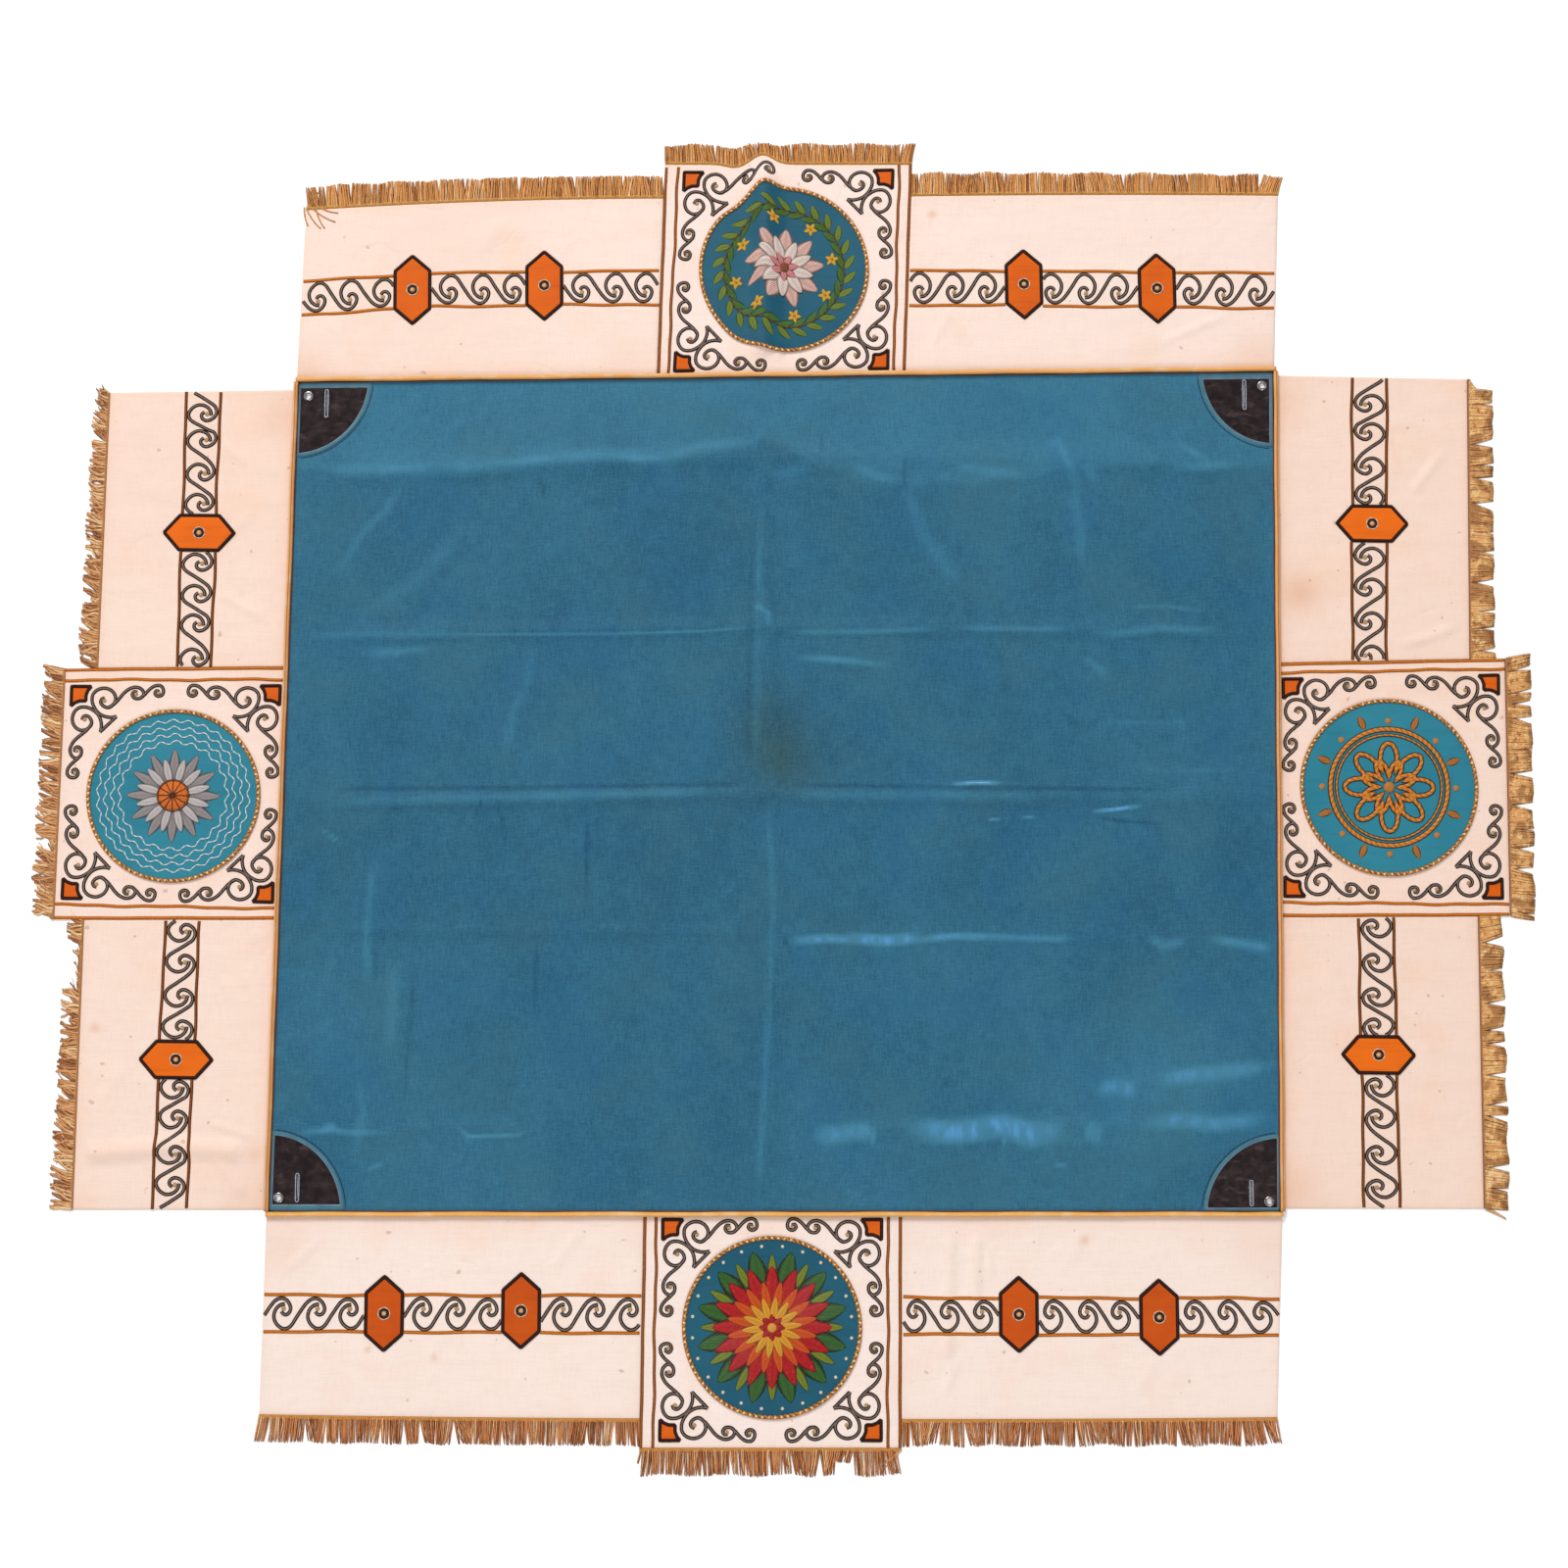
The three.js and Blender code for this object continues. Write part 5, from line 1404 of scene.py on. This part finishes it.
def build_roundels():
    """Teal satin inside a rope, and the design embroidered on it."""
    for side in SIDES.values():
        piece = side.pieces[1]
        t0, s0, radius = side.roundel

        def place(x, y, above=0.0):
            return piece.on(t0 + np.asarray(x), s0 + np.asarray(y), BASE + 1.1 + above)

        ground, border, motif = Work(), Work(), Work()
        inside, angle = radius - 3.5, turn_by(96)
        flat = np.linspace(inside, 0, 32)[:, None, None] * unit(angle)
        # The ground is lighter on its two sides along the seam and darker towards and away from it
        ground.grid(place(flat[..., 0], flat[..., 1]), flat, 0.45 + 0.1 * np.cos(angle * 2)[None], ring=True)
        finish = FINISHES["light_teal" if side.name in ("right", "left") else "teal"]
        cloth = ground.piece(f"roundel_ground_{side.name}", finish, "teal_satin", [f"roundel_{side.name}"])
        ring = place(*ring_line(inside, points=int(2 * np.pi * radius / 2)), -1.3)
        rope(border, ring, 7.0, 4.0, strands=2, turn=17.0, sides=9)
        DESIGNS[side.name](motif, place)
        yield piece.name, [
            cloth, border.piece(f"roundel_rope_{side.name}", FINISHES["rope"], "gold_cord"),
            motif.piece(f"roundel_motif_{side.name}", FINISHES["stitches"], "embroidery"),
        ]


# Piping and corner windows


def build_piping():
    """A round cord on each seam, and the dark stitching beside it on the satin, which is partly painted shade
    where the satin meets the cord.
    """
    threads = Work()
    for name, side in SIDES.items():
        work = Work()
        short = 0.0 if name in ("far", "near") else PIPING / 2 + 1
        run = np.linspace(short, side.length - short, int(side.length / 8))
        angle = turn_by(10)
        radius = PIPING / 2 * (1 + 0.03 * np.sin(run / 13))
        centre = side.plan(run, 0.35 * np.sin(run / 37) * soft(np.minimum(run, side.length - run) / 60))
        ends = np.r_[0, np.arange(len(run)), len(run) - 1]
        size = np.concatenate([[0], np.ones(len(run)), [0]])[:, None] * radius[ends][:, None]
        flat = centre[ends][:, None] + side.out * (np.cos(angle) * size)[..., None]
        rise = BASE + PIPING / 2 + np.sin(angle) * size - 0.3
        lay = paired(run[ends][:, None], angle[None] * PIPING / 2)
        work.grid(raised(flat, rise), lay, PIPING_TONES[name], ring=True)
        work.piece(f"piping_cord_{name}", FINISHES["piping"], "piping_cord", [f"piping_{name}"])
        # The dark thread beside the piping: real stitching, and partly painted shade where the satin meets the
        # cord.
        t = np.arange(8, side.length - 8, 6.0)
        plan = side.plan(t, -PIPING / 2 - 0.9 + 0.25 * np.sin(t / 19))
        cord(threads, raised(plan, np.full(len(t), CLOTH + 0.3)), *CORDS["stitch"])
    threads.piece("seam_stitching", FINISHES["seam"], "scroll_thread")


def window_line(corner, grow, x, y):
    """The closed outline of a corner window: two straight sides at insets x and y, and a quarter-round."""
    rx, ry = (radius + grow for radius in WINDOWS[corner][0])
    first, last = np.arcsin(y / ry), np.arccos(x / rx)
    arc = unit(np.linspace(first, last, 45)) * (rx, ry)
    lower = np.linspace((x, y), arc[0], 24)[:-1]
    upper = np.linspace(arc[-1], (x, y), 24)[1:]
    return np.vstack([lower, arc, upper])


# Radii of the eyelet's hole, of the slot's ends and of its lips; sections of the folded binding, as share
# of its width and height, and of the eyelet, as radius and height
EYELET_HOLE, SLOT_HALF, LIP = 6.2, 2.7, 2.5
BINDING_SECTION = np.array([
    (0, 0.0), (0, 0.5), (0.12, 0.95), (0.3, 0.8), (0.6, 1.05), (0.88, 0.95), (1, 0.4), (1, -0.25),
])
EYELET_SECTION = np.array([
    (4.6, 0.6), (5.5, 0.4), (5.5, 2.2), (8.6, 2.25), (8.7, 2.7), (8.3, 3.3), (7.4, 3.9), (6.4, 4.2),
    (5.5, 4.15), (4.9, 3.7), (4.6, 3.1), (4.6, 0.6),
])


def pierced(px, py, hole, cx, cy, keep, least):
    """Opens a round hole about a centre, or about a line of centres, in a grid of plan points."""
    away = np.hypot(px - cx, py - cy)
    scale = hole / np.maximum(away, least)
    return open_out(px, py, away - hole, (cx + (px - cx) * scale, cy + (py - cy) * scale), keep)


def mirrored(corner):
    """Whether a corner's own x and y turn the other way round."""
    return corner.endswith("Left") != corner.startswith("near")


def build_patch(corner, centre, slot, reach):
    """The dark quarter-round, with the eyelet's hole and the slot in it."""
    radii = WINDOWS[corner][0]
    x, y = np.meshgrid(*(np.linspace(SEAM, radius, int(radius / 2.4)) for radius in radii), indexing="ij")
    r = np.hypot(x / radii[0], y / radii[1])
    keep = np.ones((x.shape[0] - 1, x.shape[1] - 1), bool)
    safe = np.maximum(r, 0.2)
    x, y, keep = open_out(x, y, (1 - r) * radii[0], (x / safe, y / safe), keep)
    px, py = np.moveaxis(corner_point(corner, x, y), -1, 0)
    px, py, keep = pierced(px, py, EYELET_HOLE, *centre, keep, 0.5)
    along = slot[1] + np.clip(py - slot[1], -reach, reach)
    px, py, keep = pierced(px, py, SLOT_HALF, slot[0], along, keep, 0.3)
    swell = rumple(px, py, SILK_WAVES) * soft((1 - np.hypot(x / radii[0], y / radii[1])) / 0.2)
    work = Work()
    flip = mirrored(corner)
    work.grid(np.stack([px, py, CLOTH + 0.5 * swell], -1), np.stack([x, y], -1), keep=keep, flip=flip)
    return work.piece(f"patch_twill_{corner}", FINISHES["twill"], "dark_patch", [f"patch_{corner}"])


def build_binding(corner, inset):
    """Satin folded round the patch's edge, and the stitches that hold it to the panel, a dark line that is
    partly painted shade of the sunken stitch line.
    """
    clear = PIPING / 2 + 1.2
    inner, outer = window_line(corner, -1.5, *inset), window_line(corner, 5.0, clear, clear)
    share, level = BINDING_SECTION.T
    path = mix(inner[:, None], outer[:, None], share[None, :, None])
    rise = np.broadcast_to(CLOTH + 0.15 + 1.2 * level, path.shape[:2])
    work = Work()
    work.grid(raised(corner_point(corner, path[..., 0], path[..., 1]), rise),
              paired(distance(outer)[:, None], share[None]), flip=not mirrored(corner))
    binding = work.piece(f"binding_satin_{corner}", FINISHES["binding"], "teal_binding", [f"binding_{corner}"])
    stitch = Work()
    arc = unit(np.linspace(0.09, np.pi / 2 - 0.09, 64)) * (np.array(WINDOWS[corner][0]) + 7.6)
    u, v = corner_uv(corner, *arc.T)
    # Dark teal stitching, partly painted shade of the sunken stitch line
    cord(stitch, raised(panel_place(u, v), CLOTH + panel_lift(u, v)), 1.6, 0.6, dye=tint(26, 66, 84))
    stitch.piece(f"binding_stitches_{corner}", FINISHES["stitches"], "embroidery")
    return binding


def build_eyelet(corner, centre):
    """A rolled metal ring."""
    around = EYELET_SECTION[:, 0][:, None, None] * unit(turn_by(40))
    work = Work()
    rise = np.broadcast_to(EYELET_SECTION[:, 1][:, None], around.shape[:2])
    work.grid(raised(around + centre, rise), around, ring=True, flip=True)
    return work.piece(f"eyelet_ring_{corner}", FINISHES["steel"], "eyelet_metal", [f"eyelet_{corner}"])


def build_lips(corner, slot, reach):
    """Buttonhole stitch round the slot, whose sides bow out a little in the middle. Its dark edges are partly
    painted shade of the slot.
    """
    work = Work()
    bow = np.linspace(0, np.pi, 9)
    loop = np.vstack([LIP * unit(bow) + (0, reach), LIP * unit(bow + np.pi) - (0, reach)])
    loop = even(np.vstack([loop, loop[:1]]), 1.6)[:-1]
    loop[:, 0] *= 1 + 0.12 * np.cos(loop[:, 1] / (reach + 4) * np.pi / 2)
    cord(work, raised(loop + slot, np.full(len(loop), CLOTH)), 4.4, 1.5, ARCH, closed=True)
    work.piece(f"slot_lips_{corner}", FINISHES["lip"], "scroll_thread")


def build_window(corner):
    """The patch, its binding, its eyelet and its slot. Returns the pieces that stand for CAD nodes."""
    _, inset, eye, (line, low, high) = WINDOWS[corner]
    centre, slot = corner_point(corner, *eye), corner_point(corner, line, (low + high) / 2)
    reach = (high - low) / 2 - SLOT_HALF
    patch, binding = build_patch(corner, centre, slot, reach), build_binding(corner, inset)
    eyelet = build_eyelet(corner, centre)
    build_lips(corner, slot, reach)
    return patch, binding, eyelet


# Making


panel = build_panel()
windows = {corner: build_window(corner) for corner in WINDOWS}
quarter = sum(np.pi / 4 * radii[0] * radii[1] for radii, _, _, _ in WINDOWS.values())
(PANEL[0] * PANEL[1] - quarter) / 1e6
for corner, (patch, _, eyelet) in windows.items():
    radii = WINDOWS[corner][0]
    radii[0] / 1000
    radii[1] / 1000
    np.pi / 4 * radii[0] * radii[1] / 1e6
silks, sewn = {}, {}
for seed, side in enumerate(SIDES.values()):
    for number, piece in enumerate(side.pieces):
        silks[piece.name] = build_piece(piece)
        sewn[piece.name] = [build_strands(piece, 10 * seed + number), build_head(piece)]
for name, made in [*build_hexagons(), *build_squares(), *build_roundels()]:
    sewn[name] += made
for side in SIDES.values():
    for piece in side.pieces:
        piece.width / 1000
        max(piece.drop) / 1000
        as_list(sewn[piece.name])
build_loose()
build_bands()
build_piping()

# Floor, light and camera


def floor_finish():
    """An even floor, nearly white."""
    f = Finish("pale floor", Specular_IOR_Level=0.2)
    grain = f.noise(0.4, 3)
    colour = f.blend(grain, tint(250, 250, 250, 1.0), tint(255, 255, 255, 1.0))
    return f.finish(colour, grain * 0.1 + 0.8)


floor_mesh = bpy.data.meshes.new("floor")
floor_mesh.from_pydata([(-9, -9, 0), (9, -9, 0), (9, 9, 0), (-9, 9, 0)], [], [(0, 1, 2, 3)])
floor_mesh.materials.append(floor_finish())
floor = bpy.data.objects.new("floor", floor_mesh)
bpy.context.scene.collection.objects.link(floor)


def softbox(name, place, size, power):
    """A square light that faces the middle of the cloth."""
    data = bpy.data.lights.new(name, "AREA")
    data.shape, data.size, data.energy = "SQUARE", size, power
    lamp = bpy.data.objects.new(name, data)
    bpy.context.scene.collection.objects.link(lamp)
    lamp.location = place
    x, y, z = place
    lamp.rotation_euler = (np.arctan2(np.hypot(x, y), z), 0, np.arctan2(-y, -x) - np.pi / 2)


softbox("key_light", (-3.0, 9.4, 7.7), 4.0, 1240)
softbox("near_light", (1.8, -7.2, 6.0), 4.0, 300)
softbox("left_light", (-7.2, -0.8, 5.2), 3.6, 84)

world = bpy.data.worlds.new("studio")
bpy.context.scene.world = world
world.use_nodes = True
background = world.node_tree.nodes["Background"]
background.inputs[0].default_value = (1.0, 1.0, 1.0, 1.0)
background.inputs[1].default_value = 0.41

camera_data = bpy.data.cameras.new("camera")
camera_data.lens, camera_data.sensor_width = 50, 36
camera = bpy.data.objects.new("camera", camera_data)
bpy.context.scene.collection.objects.link(camera)
camera.location = (-0.0005, -0.3532, 3.6320)
camera.rotation_euler = (np.radians(5.7), 0, 0)
bpy.context.scene.camera = camera
bpy.context.scene.view_settings.view_transform = "Standard"
